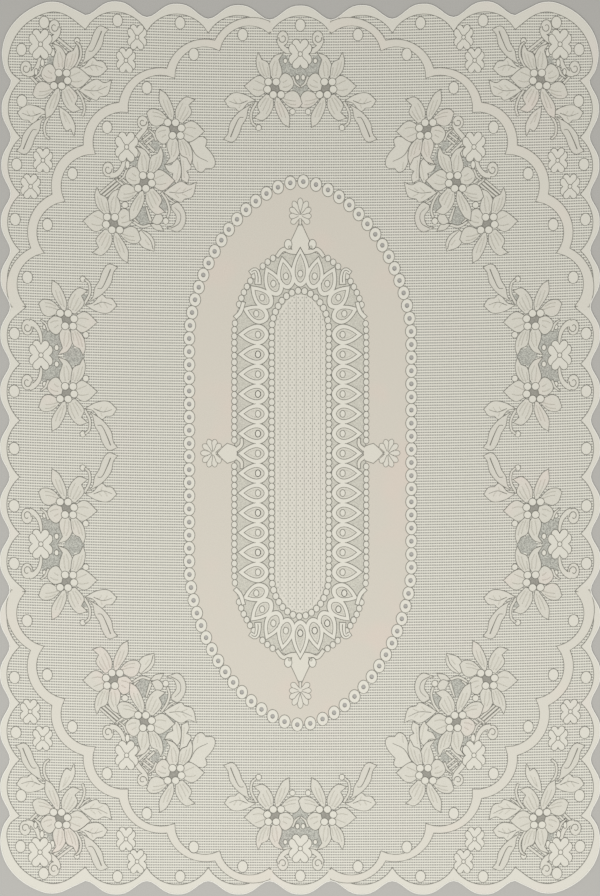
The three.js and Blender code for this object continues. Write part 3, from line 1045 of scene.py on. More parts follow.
# Leaf, pod and tendril that leave one joint
SPRAY: tuple[Part, ...] = (
    Area(
        ((0, 0, 1), (16, 9), (34, 11), (47, 0, 1), (40, -10), (31, -11, 1), (24, -16), (11, -3)),
        (((20, -3), (24, 3)), ((29, -4), (33, 3)), ((23, -6), (25, -11))),
        slits=(((12, 0), (26, -5), (40, -1)),), slit_width=0.9,
    ),
    Area(
        ((3, -4, 1), (24, -17), (38, -34), (42, -51), (48, -59, 1), (35, -63), (26, -52), (21, -38),
         (14, -26), (11, -12)),
        slits=(((38, -56), (32, -41), (24, -26), (18, -26)),),
        slit_width=1.6,
    ),
    Stem(((-2, -2), (6, -18), (5, -33), (-1, -39)), 3.4, 2.8),
)

# Broad notched leaf with a tendril above it
BROAD: tuple[Part, ...] = (
    Stem(((-1, -2), (-8, -10), (-16, -15)), 2.6, 2.2),
    Area(
        ((0, 0, 1), (-12, -8), (-26, -14), (-31, -9, 1), (-43, -5), (-49, 16, 1), (-38, 12), (-26, 17),
         (-11, 9)),
        (((-18, 2), (-25, 8)), ((-29, 3), (-34, 8)), ((-17, -2), (-23, -8)), ((-28, -1), (-36, -5))),
        slits=(((-8, 1), (-26, 0), (-43, 7)),), slit_width=0.9,
    ),
    Stem(((4, 0), (-4, -12), (-8, -27), (-5, -38)), 3.2, 3.0),
)

# Parts that occur once in a quarter, at their own places in it
SINGLES: tuple[Part, ...] = (
    Stem(((413.4, 571), (400, 557)), 3.2, 3.2), Stem(((408, 575), (395, 562)), 3.0, 3.0),
    Stem(((378.5, 625), (358, 607.5)), 3.6, 3.6), Stem(((373.5, 630), (349, 610.5)), 3.6, 3.6),
    Curl(420.7, 583, ((419, 574.5), (411.5, 575.5), (405, 583), (401, 592), (399.5, 600)), 8, 4.5),
    Curl(377.5, 646, ((386, 624.5), (378.5, 629), (372.5, 636), (370.5, 645)), 9, 6),
    Bead(395.5, 592, 2.7, 5.2), Bead(379.8, 607.5, 3.0, 5.5), Bead(405.2, 578, 2.2, 4.6),
    Area(
        ((370, 526, 1), (367, 507), (359, 490), (352, 493, 1), (347, 482, 1), (346, 498), (355, 515)),
        (((364, 518), (359, 503)), ((361, 515), (353, 500))),
    ),
    Area(
        ((244, 341, 1), (250, 332), (243, 316), (225, 309, 1), (224, 322), (231, 334)),
        (((232, 318), (238, 326)),), slits=(((226, 312), (230, 325), (245, 341)),),
    ),
    Stem(((256, 353), (243, 346), (230, 349)), 3.4, 3.4),
    Area(((230, 350, 1), (222, 342), (210, 340, 1), (217, 350))),
    Area(((228, 353, 1), (218, 350), (211, 360), (219, 366))),
    Stem(((229.5, 355), (236.5, 376)), 4.0, 2.0),
    Area(
        ((205, 345, 1), (186, 340), (176, 361), (187, 383), (198, 379, 1), (197, 373, 1), (190, 362),
         (195, 348)),
        slits=(((199, 344), (186, 352), (184, 366), (193, 376)),),
    ),
    Bead(206.5, 355, 4.3, 4.6),
    Area(
        ((190, 413, 1), (184, 424), (184, 441), (190, 450), (198, 441), (208, 441, 1), (203, 432),
         (195, 428, 1), (196, 421)),
        (((190, 418), (186, 442)),),
    ),
    Area(
        ((182, 419, 1), (173, 414, 1), (171, 424), (175, 432, 1), (168, 437), (173, 450), (185, 458, 1),
         (182, 436)),
        (((178, 422), (180, 448)),),
    ),
    Area(
        ((165, 445, 1), (159, 434), (151, 431), (145, 437, 1), (134, 438), (131, 447), (137, 460),
         (146, 470, 1), (144, 480), (150, 485, 1), (162, 482), (170, 475, 1), (165, 461)),
        (((157, 435), (158, 446)),),
        slits=(((169, 472), (159, 456), (142, 447)),),
    ),
    Stem(((308.5, 394), (280, 419)), 3.0, 3.0), Stem(((304.3, 391), (276.5, 415.2)), 3.2, 3.2),
    Stem(((299, 389.5), (273, 412)), 2.8, 2.8),
    Stem(((282, 417.5), (270, 407.5)), 3.2, 3.2), Stem(((278, 422), (266, 412)), 3.0, 3.0),
    Curl(295, 432, ((292, 423), (283, 424.5), (275, 432.5), (271, 442), (269.5, 449)), 8, 5),
    Stem(((248.5, 474.5), (231.5, 458.5)), 3.4, 3.4), Stem(((243, 479), (224, 461.2)), 3.4, 3.4),
    Stem(((237.5, 472), (219, 487)), 3.0, 3.0), Stem(((241, 477.5), (223, 492)), 3.0, 3.0),
    Stem(((244, 483.5), (229, 497)), 3.0, 3.0),
    Curl(241.9, 505, ((252, 479), (245.5, 487.5), (239, 495), (235.5, 504)), 7.5, 5.5, along=9.5),
    Bead(265.2, 440.1, 3.0, 5.6), Bead(249.6, 458.9, 3.1, 6.0), Bead(269, 378.5, 4.6, 4.6),
    Bead(209.2, 469.8, 2.4, 2.6),
    Curl(
        417.5, 187, ((414.5, 195), (408.2, 192.4), (400.8, 184), (397.2, 173), (396.6, 162)),
        8.5, 2.6, along=11.5,
    ),
    Bead(391.5, 188.5, 2.7, 3.5), Bead(373.4, 157.4, 3.0, 4.0), Bead(373.4, 132.2, 3.0, 4.0),
    Bead(329, 178.3, 4.3, 4.6), Bead(329, 111.3, 4.3, 4.6),
    Bead(64, 499.5, 3.9, 4.2), Bead(342.5, 625.5, 3.9, 4.2),
    Bead(333.5, 263.5, 3.9, 4.2), Bead(333.5, 26, 3.9, 4.2),
    Curl(
        417.5, 102.6, ((414.5, 94.6), (408.2, 97.2), (400.8, 105.6), (397.2, 117), (396.6, 128)),
        8.5, 2.6, along=11.5,
    ),
    Bead(391.5, 101, 2.7, 3.5),
    Curl(26.8, 636, ((14, 616.5), (21.5, 617.5), (29, 624.5), (33.5, 634)), 8, 6, -1),
    Bead(23, 601.6, 2.7, 3.4), Bead(4.4, 576.5, 2.8, 3.8), Bead(12, 524, 3.9, 4.2),
)

# Half-tone areas between the flowers
THINNED: tuple[Knots, ...] = (
    ((391.5, 586), (385, 590), (379, 586), (378.5, 597), (377, 604), (381, 607), (387, 598)),
    ((257, 354), (250, 348), (243, 345), (235, 348), (232, 354), (233.5, 364),
     (237, 380), (246, 372), (253, 363)),
    ((219.5, 377.6), (207.5, 369), (202.7, 374), (203.5, 383.5), (213, 394.5)),
    ((208.5, 402.8), (191.5, 405), (193, 416.4), (199.5, 417)),
    ((217.5, 430), (195, 419), (207.5, 441.6), (203, 451), (210.7, 466.7), (213, 463.6), (216, 445)),
    ((261.2, 440.5), (250.6, 438.5), (249.6, 456), (255.4, 457.4)),
    ((230.3, 471.5), (221.9, 460.8), (214.5, 462.3), (216, 474), (225, 480)),
    ((394, 190), (384, 189), (372, 185), (360, 177), (362, 160), (366, 150), (371, 144.8), (366, 139.6),
     (362, 129.6), (360, 112.6), (372, 104.6), (384, 100.6), (394, 99.6), (396, 110), (394, 123),
     (388, 132), (386, 144.8), (388, 158), (394, 167), (396, 180)),
    ((351, 163), (345.5, 157), (336.5, 159), (330, 144.8), (336.5, 130.6), (345.5, 132.6), (351, 126.6),
     (364, 144.8)),
    ((335.4, 238.5), (323.3, 241), (325, 229), (332, 228)),
    ((0, 543), (12.5, 556.5), (11, 566), (4, 563.5), (0, 563)),
    ((0, 564), (5, 567), (12, 573), (22, 577), (31, 582), (33, 594), (33.5, 603.7), (29, 613.3),
     (20.3, 609.2), (16.3, 602.3), (11, 598.2), (7, 591.3), (0, 594)),
)


@dataclass
class Garden:
    """Flowers, sprays, clovers, beads and dots of the quarters.

    A motif's row gives its middle, and for x and y whether they run with the quarter's, 1, or
    against them, -1. A clover's row gives its middle and its size.
    """

    flowers: tuple[tuple[float, float, int, int], ...] = (
        (368, 567, -1, -1), (287, 349.5, 1, -1), (239, 414, -1, -1), (193.5, 496, -1, 1),
        (39.5, 559.5, 1, -1), (358, 201, -1, 1), (358, 88.5, -1, -1),
    )
    sprays: tuple[tuple[float, float, int, int], ...] = (
        (69, 540.5, 1, 1), (386, 515.5, 1, 1), (343, 584.5, -1, -1), (329, 224, -1, -1), (329, 65.5, -1, 1),
    )
    broad: tuple[tuple[float, float, int, int], ...] = ((339, 551, 1, 1), (209, 398.5, 1, 1))
    dot: tuple[float, float] = (7.3, 9.0)
    dots: tuple[tuple[float, float], ...] = (
        (0, 656), (88.5, 641), (184.5, 657), (280.5, 657.5), (393, 653), (427.5, 611.5), (426.5, 533),
        (434, 436), (436, 351.5), (417.5, 263.5), (436.5, 176.5), (436.5, 88), (436.5, 0),
        (163.5, 610), (235.5, 557.5), (296.5, 496), (349.5, 424.5), (387.5, 345.5),
    )
    clover: tuple[float, float] = (17.4, 22.3)
    clover_width: tuple[float, float] = (28.5, 22.5)
    clover_bead: tuple[float, float] = (3.0, 3.3)
    clover_step: float = 1.8
    clovers: tuple[tuple[float, float, float], ...] = (
        (398.5, 620, 1), (267.5, 598, 0.83), (250.5, 633.5, 0.83), (413, 403, 0.83), (394.5, 443.5, 0.83),
        (266.5, 467, 1), (0, 612, 1), (397, 145, 1),
    )

    @staticmethod
    def signs(x: float, y: float) -> list[tuple[int, int]]:
        """Gives the quarters that a place is mirrored into, once where it lies on an axis."""
        return [(sx, sy) for sx, sy in QUARTERS if (x or sx > 0) and (y or sy > 0)]

    @staticmethod
    def placed(parts: Iterable[Part], x: float, y: float, face_x: int, face_y: int) -> list[Shape]:
        """Gives the shapes of a motif in every quarter.

        Args:
            parts: The motif's parts.
            x: Where its middle lies in the quarter.
            y: The same, along the cloth.
            face_x: 1 if its x runs with the quarter's, -1 if against it.
            face_y: The same for y.

        Returns:
            The shapes, quarter by quarter.
        """
        shapes = []
        for sx, sy in QUARTERS:
            def move(knot: Knot) -> Vector:
                """Takes a place in the motif to its place in the cloth."""
                return Vector(((x + knot[0] * face_x) * sx, (y + knot[1] * face_y) * sy))
            shapes += [part.shape(move) for part in parts]
        return shapes

    def thinned(self) -> list[Shape]:
        """Gives the half-tone areas.

        Returns:
            The shapes, quarter by quarter.
        """
        shapes = []
        for knots in THINNED:
            line = [Vector(knot) for knot in knots]
            for sx, sy in QUARTERS:
                shapes.append(Shape([mirrored(line, sx, sy)], dress="thin", top=1.0, bevel=0.3, seam=0.2))
        return shapes

    def clover_shapes(self) -> list[Shape]:
        """Gives the clovers.

        Returns:
            The four heart leaves and the bead of each.
        """
        shapes = []
        for x, y, size in self.clovers:
            for sx, sy in self.signs(x, y):
                middle = Vector((x * sx, y * sy))
                for ux, uy in ((1, 0), (0, 1), (-1, 0), (0, -1)):
                    axis = 0 if ux else 1
                    tip = middle + Vector((ux, uy)) * self.clover[axis] * size
                    leaf = drawn(Form.HEART, middle, tip, self.clover_width[axis] * size, self.clover_step)
                    shapes.append(Shape([leaf], bevel=0.5, dish=0.2))
                across, along = self.clover_bead
                shapes.append(Shape([ellipse(middle, across * size, along * size, 10)], top=1.9, bevel=0.5))
        return shapes

    def shapes(self) -> list[Shape]:
        """Gives every shape of the garden.

        Returns:
            The shapes, the lowest first.
        """
        shapes = self.thinned() + self.placed(SINGLES, 0, 0, 1, 1)
        for row in self.sprays:
            shapes += self.placed(SPRAY, *row)
        for row in self.broad:
            shapes += self.placed(BROAD, *row)
        for x, y in self.dots:
            for sx, sy in self.signs(x, y):
                shapes.append(Shape([ellipse(Vector((x * sx, y * sy)), *self.dot, 18)], dish=0.2))
        shapes += self.clover_shapes()
        for row in self.flowers:
            shapes += self.placed(FLOWER, *row)
        return shapes


@dataclass
class Clothwork:
    """Cuts each shape clear of the shapes drawn after it, and raises it into a plate on a dark sole, which
    paints the shade in the line round it.

    Args:
        shapes: The shapes, the lowest first.
        foot: Height where the plates start.
        vein: Depth of the veins.
        sole_foot: Height where the soles start.
        sole_top: Height of the lowest sole.
        sole_levels: How many heights the soles take in turn, so that no two faces meet.
        sole_step: From one such height to the next.
        least_seam: Narrowest dark line that gets a sole.
        least_drop: Least drop of a rounded edge.
        edge_drop: Its drop in parts of its width.
        dish_inset: How far the dished middle lies inside the rim.
        reach: How far round a shape others are looked for.
        stretch: Most that a corner is moved by an inset, in parts of its width.
    """

    shapes: list[Shape]
    foot: float = 0.3
    vein: float = 0.5
    sole_foot: float = 0.5
    sole_top: float = 1.0
    sole_levels: int = 16
    sole_step: float = 0.005
    least_seam: float = 0.5
    least_drop: float = 0.3
    edge_drop: float = 0.6
    dish_inset: float = 0.9
    reach: float = 1.5
    stretch: float = 1.5

    @staticmethod
    def cut_out(
        outlines: list[Outline], veins: list[Outline], cutters: list[Outline],
    ) -> tuple[list[Vector], list[list[int]], list[bool]]:
        """Cuts up an area.

        Args:
            outlines: Outlines of the area.
            veins: Outlines of the veins in it.
            cutters: Outlines of what is taken out of it.

        Returns:
            The corners, the triangles that are left, and which of these are in veins.
        """
        own, veined = len(outlines), len(outlines) + len(veins)
        corners: list[Vector] = []
        faces: list[list[int]] = []
        for line in [*outlines, *veins, *cutters]:
            turned = line if area_of(line) > 0 else line[::-1]
            faces.append(list(range(len(corners), len(corners) + len(turned))))
            corners += turned
        points, _, triangles, _, _, origins = delaunay_2d_cdt(corners, [], faces, 1, 1e-3)
        kept = [
            (list(t), any(own <= o < veined for o in origin)) for t, origin in zip(triangles, origins)
            if any(o < own for o in origin) and not any(o >= veined for o in origin)
        ]
        large = without_crumbs(points, [t for t, _ in kept])
        return points, [kept[i][0] for i in large], [kept[i][1] for i in large]

    @staticmethod
    def slab(
        points: list[Vector], triangles: list[list[int]], foot: float, top: float,
    ) -> tuple[bmesh.types.BMesh, Faces, Faces]:
        """Raises some triangles into a flat closed body.

        Args:
            points: Their corners.
            triangles: The triangles.
            foot: Height of the lower faces.
            top: Height of the upper faces.

        Returns:
            The body, its lower faces and its upper faces.
        """
        bm = bmesh.new()
        used = sorted({i for t in triangles for i in t})
        verts = {i: bm.verts.new((*points[i], foot)) for i in used}
        low = [bm.faces.new([verts[i] for i in triangle]) for triangle in triangles]
        made = bmesh.ops.extrude_face_region(bm, geom=low, use_keep_orig=True)
        bmesh.ops.reverse_faces(bm, faces=low)
        lifted = [g for g in made["geom"] if isinstance(g, bmesh.types.BMVert)]
        bmesh.ops.translate(bm, verts=lifted, vec=(0, 0, top - foot))
        return bm, low, [g for g in made["geom"] if isinstance(g, bmesh.types.BMFace)]

    def sole(self, number: int) -> bmesh.types.BMesh | None:
        """Makes the dark sole under one shape, which shows as a line of painted shade round it.

        Args:
            number: Which shape.

        Returns:
            The body, or None where the shape has no line round it.
        """
        shape = self.shapes[number]
        if shape.seam < self.least_seam:
            return None
        outlines = [grown(line, shape.seam) for line in shape.outlines]
        openings = [grown(line, -shape.lip) for line in shape.openings]
        points, triangles, _ = self.cut_out(outlines, [], openings)
        if not triangles:
            return None
        top = self.sole_top + number % self.sole_levels * self.sole_step
        bm, _, _ = self.slab(points, triangles, self.sole_foot, top)
        bmesh.ops.recalc_face_normals(bm, faces=bm.faces[:])
        return bm

    def plate(self, number: int) -> bmesh.types.BMesh | None:
        """Raises one shape into a closed plate with a rounded upper edge.

        Args:
            number: Which shape.

        Returns:
            The body, or None where later shapes cover all of it.
        """
        shape = self.shapes[number]
        low_x, low_y, high_x, high_y = shape.box(self.reach)
        cutters = [*shape.openings, *shape.slits]
        for other in self.shapes[number + 1:]:
            if other.seam > 0:
                x0, y0, x1, y1 = other.box()
                if x0 < high_x and x1 > low_x and y0 < high_y and y1 > low_y:
                    cutters += [grown(line, other.seam) for line in other.outlines]
        points, triangles, sunk = self.cut_out(shape.outlines, shape.veins, cutters)
        if not triangles or all(sunk):
            return None
        drop = max(self.least_drop, shape.bevel * self.edge_drop)
        shoulder = shape.top - drop - (self.vein if any(sunk) else 0)
        bm, low, raised = self.slab(points, triangles, self.foot, shoulder)
        if any(sunk):
            raised = self.raise_between(bm, raised, sunk, low)
            shoulder += self.vein
            bmesh.ops.translate(bm, verts=list({v for f in raised for v in f.verts}), vec=(0, 0, self.vein))
        even = not any(sunk)
        self.step_in(bm, raised, shape.bevel, shape.top - shoulder, even)
        if shape.dish:
            self.step_in(bm, raised, self.dish_inset, -shape.dish, even)
        bmesh.ops.recalc_face_normals(bm, faces=bm.faces[:])
        return bm

    def step_in(self, bm: bmesh.types.BMesh, faces: Faces, width: float, rise: float, even: bool) -> None:
        """Insets some faces and lifts them.

        Args:
            bm: The body.
            faces: Its faces, which stay the inner ones.
            width: How far they are inset. No corner moves much further.
            rise: How far they are lifted, below zero to sink them.
            even: Whether the inset keeps its width at corners.
        """
        bmesh.ops.inset_region(bm, faces=faces, thickness=width, use_even_offset=even, use_boundary=True)
        inner = {v for f in faces for v in f.verts}
        furthest = self.stretch * width
        for vert in inner:
            for outer in (e.other_vert(vert) for e in vert.link_edges):
                way = vert.co - outer.co
                if outer not in inner and way.length > furthest:
                    vert.co = outer.co + way * (furthest / way.length)
        bmesh.ops.translate(bm, verts=list(inner), vec=(0, 0, rise))

    @staticmethod
    def raise_between(
        bm: bmesh.types.BMesh, raised: Faces, sunk: list[bool], low: Faces,
    ) -> Faces:
        """Splits the faces between the veins from the sunk ones, with walls at the veins.

        Args:
            bm: The body.
            raised: Its upper faces.
            sunk: Which of its lower faces are sunk, in the order of low.
            low: Its lower faces.

        Returns:
            The faces between the veins, ready to be lifted.
        """
        middles = {tuple(round(c, 3) for c in f.calc_center_median().xy) for f, s in zip(low, sunk) if s}
        between = [f for f in raised if tuple(round(c, 3) for c in f.calc_center_median().xy) not in middles]
        made = bmesh.ops.extrude_face_region(bm, geom=between)
        return [g for g in made["geom"] if isinstance(g, bmesh.types.BMFace)]

    def build(self, lay: Lay, finishes: dict[str, bpy.types.Material]) -> list[bpy.types.Object]:
        """Builds a piece for each finish, and the dark soles of painted shade.

        Args:
            lay: How the cloth lies.
            finishes: The material of each finish.

        Returns:
            The finished pieces.
        """
        pieces = {dress: Piece(dress) for dress in dict.fromkeys(s.dress for s in self.shapes)}
        pieces["sole"] = Piece("sole")
        for number, shape in enumerate(self.shapes):
            for dress, body in ((shape.dress, self.plate(number)), ("sole", self.sole(number))):
                if body is not None:
                    pieces[dress].add_bmesh(body)
        return [piece.finish(lay, finishes[dress]) for dress, piece in pieces.items() if piece.count]


def without_crumbs(points: list[Vector], triangles: list[list[int]], least: float = 3.0) -> list[int]:
    """Leaves out small loose patches.

    Args:
        points: Corners of the triangles.
        triangles: The triangles.
        least: Area of the smallest patch that stays.

    Returns:
        The numbers of the triangles that stay.
    """
    owner = list(range(len(triangles)))

    def root(i: int) -> int:
        """Gives the triangle that stands for the patch of another."""
        while owner[i] != i:
            i = owner[i]
        return i

    sides: dict[tuple[int, int], int] = {}
    for number, triangle in enumerate(triangles):
        for a, b in zip(triangle, triangle[1:] + triangle[:1]):
            first = sides.setdefault((min(a, b), max(a, b)), number)
            owner[root(number)] = root(first)
    areas: dict[int, float] = {}
    for number, triangle in enumerate(triangles):
        area = abs(area_of([points[i] for i in triangle]))
        areas[root(number)] = areas.get(root(number), 0.0) + area
    return [i for i in range(len(triangles)) if areas[root(i)] > least]


def merged(spans: np.ndarray) -> list[Span]:
    """Joins stretches that overlap.

    Args:
        spans: The start and end of each, one row each.

    Returns:
        The joined stretches in order.
    """
    joined: list[list[float]] = []
    for low, high in spans[np.argsort(spans[:, 0])] if len(spans) else ():
        if joined and low <= joined[-1][1]:
            joined[-1][1] = max(joined[-1][1], high)
        else:
            joined.append([low, high])
    return [(low, high) for low, high in joined]


def narrowed(spans: np.ndarray, margin: float) -> list[Span]:
    """Joins stretches that overlap, and then takes a margin off both ends of each."""
    return [(low + margin, high - margin) for low, high in merged(spans) if high - low > 2 * margin]


def left_over(whole: Sequence[Span], taken: Sequence[Span]) -> list[Span]:
    """Takes some stretches out of others.

    Args:
        whole: The stretches that they are taken out of.
        taken: What is taken out, in order.

    Returns:
        What is left.
    """
    left = []
    for low, high in whole:
        at = low
        for start, end in taken:
            if end <= at or start >= high:
                continue
            if start > at:
                left.append((at, start))
            at = max(at, end)
        if at < high:
            left.append((at, high))
    return left


@dataclass
class NetGround:
    """Net of upright wales and flat bars, run between the outlined shapes.

    Args:
        wale_pitch: How far apart the wales are.
        wale_width: Their width.
        wale_top: Their height above the table.
        least_wale: Shortest wale that is made.
        bar_pitch: How far apart the bars are.
        bar_width: Their width.
        bar_low: Height of their lower faces.
        bar_top: Height of their upper faces.
        least_bar: Shortest bar that is made.
        taper: Width of a rod's upper face in parts of its lower one.
        under: How far a bar runs in under a shape.
        segment: Longest part of a rod between two cuts, which let it bend with the cloth.
        tuck: How far inside the cut edge the wales end.
    """

    wale_pitch: float = 3.54
    wale_width: float = 1.25
    wale_top: float = 0.8
    least_wale: float = 4.0
    bar_pitch: float = 4.16
    bar_width: float = 2.6
    bar_low: float = 0.2
    bar_top: float = 0.95
    least_bar: float = 0.6
    taper: float = 0.7
    under: float = 0.7
    segment: float = 45.0
    tuck: float = 5.0

    def rod(self, segments: int) -> bmesh.types.BMesh:
        """Makes a closed flat rod of unit size along X, standing on its lower face.

        Args:
            segments: Into how many parts its length is divided.

        Returns:
            The body, tapered upwards.
        """
        bm = bmesh.new()
        bmesh.ops.create_cube(bm, size=1.0)
        bmesh.ops.translate(bm, verts=bm.verts[:], vec=(0, 0, 0.5))
        long = [e for e in bm.edges if abs(e.verts[0].co.x - e.verts[1].co.x) > 0.5]
        if segments > 1:
            bmesh.ops.subdivide_edges(bm, edges=long, cuts=segments - 1, use_grid_fill=False)
        upper = [v for v in bm.verts if v.co.z > 0.5]
        bmesh.ops.scale(bm, vec=(1, self.taper, 1), verts=upper)
        return bm

    def run(self, piece: Piece, runs: list[Run], width: float, low: float, top: float) -> None:
        """Adds a rod for each run along X.

        Args:
            piece: What they are added to.
            runs: Where they start, end and lie.
            width: Their width.
            low: Height of their lower faces.
            top: Height of their upper faces.
        """
        by_steps: dict[int, list[Run]] = {}
        for start, end, y in runs:
            by_steps.setdefault(max(1, math.ceil((end - start) / self.segment)), []).append((start, end, y))
        for steps, rows in by_steps.items():
            start, end, y = np.array(rows).T
            same = np.ones(len(rows))
            places = np.column_stack(((start + end) / 2, y, same * low))
            sizes = np.column_stack((end - start, same * width, same * (top - low)))
            piece.add_copies(self.rod(steps), places, sizes)

    def bars(self, piece: Piece, net: Outline, shapes: Sequence[Shape]) -> None:
        """Runs the bars of the net.

        Args:
            piece: What they are added to.
            net: The line inside the border where the net starts.
            shapes: The shapes that the ends of the bars are tucked under.
        """
        solid = Crossings([line for s in shapes for line in s.outlines])
        inside = Crossings([net])
        runs = []
        rows = int(LENGTH / 2 / self.bar_pitch)
        under = np.array([[self.under, -self.under]])
        for n in range(-rows, rows + 1):
            y = n * self.bar_pitch
            open_parts: list[Span] = []
            for row in (y - self.bar_width / 2, y, y + self.bar_width / 2):
                taken = narrowed(solid.spans(row), self.under)
                open_parts += left_over(merged(inside.spans(row) - under), taken)
            for low, high in merged(np.array(open_parts).reshape(-1, 2)):
                if high - low > self.least_bar:
                    runs.append((low, high, y))
        self.run(piece, runs, self.bar_width, self.bar_low, self.bar_top)

    def wales(self, piece: Piece, edge: Outline, holes: Sequence[Outline]) -> None:
        """Runs the wales from one border to the other.

        Args:
            piece: What they are added to, still empty.
            edge: Cut edge of the cloth.
            holes: Outlines that no wale crosses.
        """
        open_to = Crossings([[Vector((p.y, p.x)) for p in hole] for hole in holes])
        turned = Crossings([[Vector((p.y, p.x)) for p in edge]])
        rows = int(WIDTH / 2 / self.wale_pitch)
        runs = []
        for n in range(-rows, rows + 1):
            x = n * self.wale_pitch
            whole = [(low + self.tuck, high - self.tuck) for low, high in merged(turned.spans(x))]
            for low, high in left_over(whole, merged(open_to.covered(x, self.wale_width / 2))):
                if high - low > self.least_wale:
                    runs.append((low, high, x))
        self.run(piece, runs, self.wale_width, 0.0, self.wale_top)
        for points in piece.points:
            points[:, [0, 1]] = points[:, [1, 0]]
        piece.faces = [face[::-1] for face in piece.faces]


FIRST, SECOND = 6, 7  # colour inputs of a mix
MIXED = 2  # its colour output


@dataclass
class Wiring:
    """Nodes of one material, and the links between them."""

    tree: bpy.types.NodeTree

    def add(
        self, kind: str, values: dict[str | int, float | tuple[float, ...]] | None = None, **settings: str,
    ) -> bpy.types.Node:
        """Adds a node.

        Args:
            kind: Its type, without the part that all of them start with.
            values: What its unlinked inputs are set to.
            settings: Its own settings.

        Returns:
            The node.
        """
        node = self.tree.nodes.new("ShaderNode" + kind)
        for name, setting in settings.items():
            setattr(node, name, setting)
        for socket, value in (values or {}).items():
            node.inputs[socket].default_value = value
        return node

    def join(
        self, source: bpy.types.Node, output: str | int, target: bpy.types.Node, socket: str | int,
    ) -> None:
        """Joins an output of one node to an input of another."""
        self.tree.links.new(source.outputs[output], target.inputs[socket])

    def multiplied(self, colour: bpy.types.Node, factor: bpy.types.Node, output: str) -> bpy.types.Node:
        """Multiplies a mixed colour.

        Args:
            colour: The mix that gives the colour.
            factor: The node that it is multiplied by.
            output: Which output of that node.

        Returns:
            The mix of the two.
        """
        node = self.add("Mix", {0: 1.0}, data_type="RGBA", blend_type="MULTIPLY")
        self.join(colour, MIXED, node, FIRST)
        self.join(factor, output, node, SECOND)
        return node


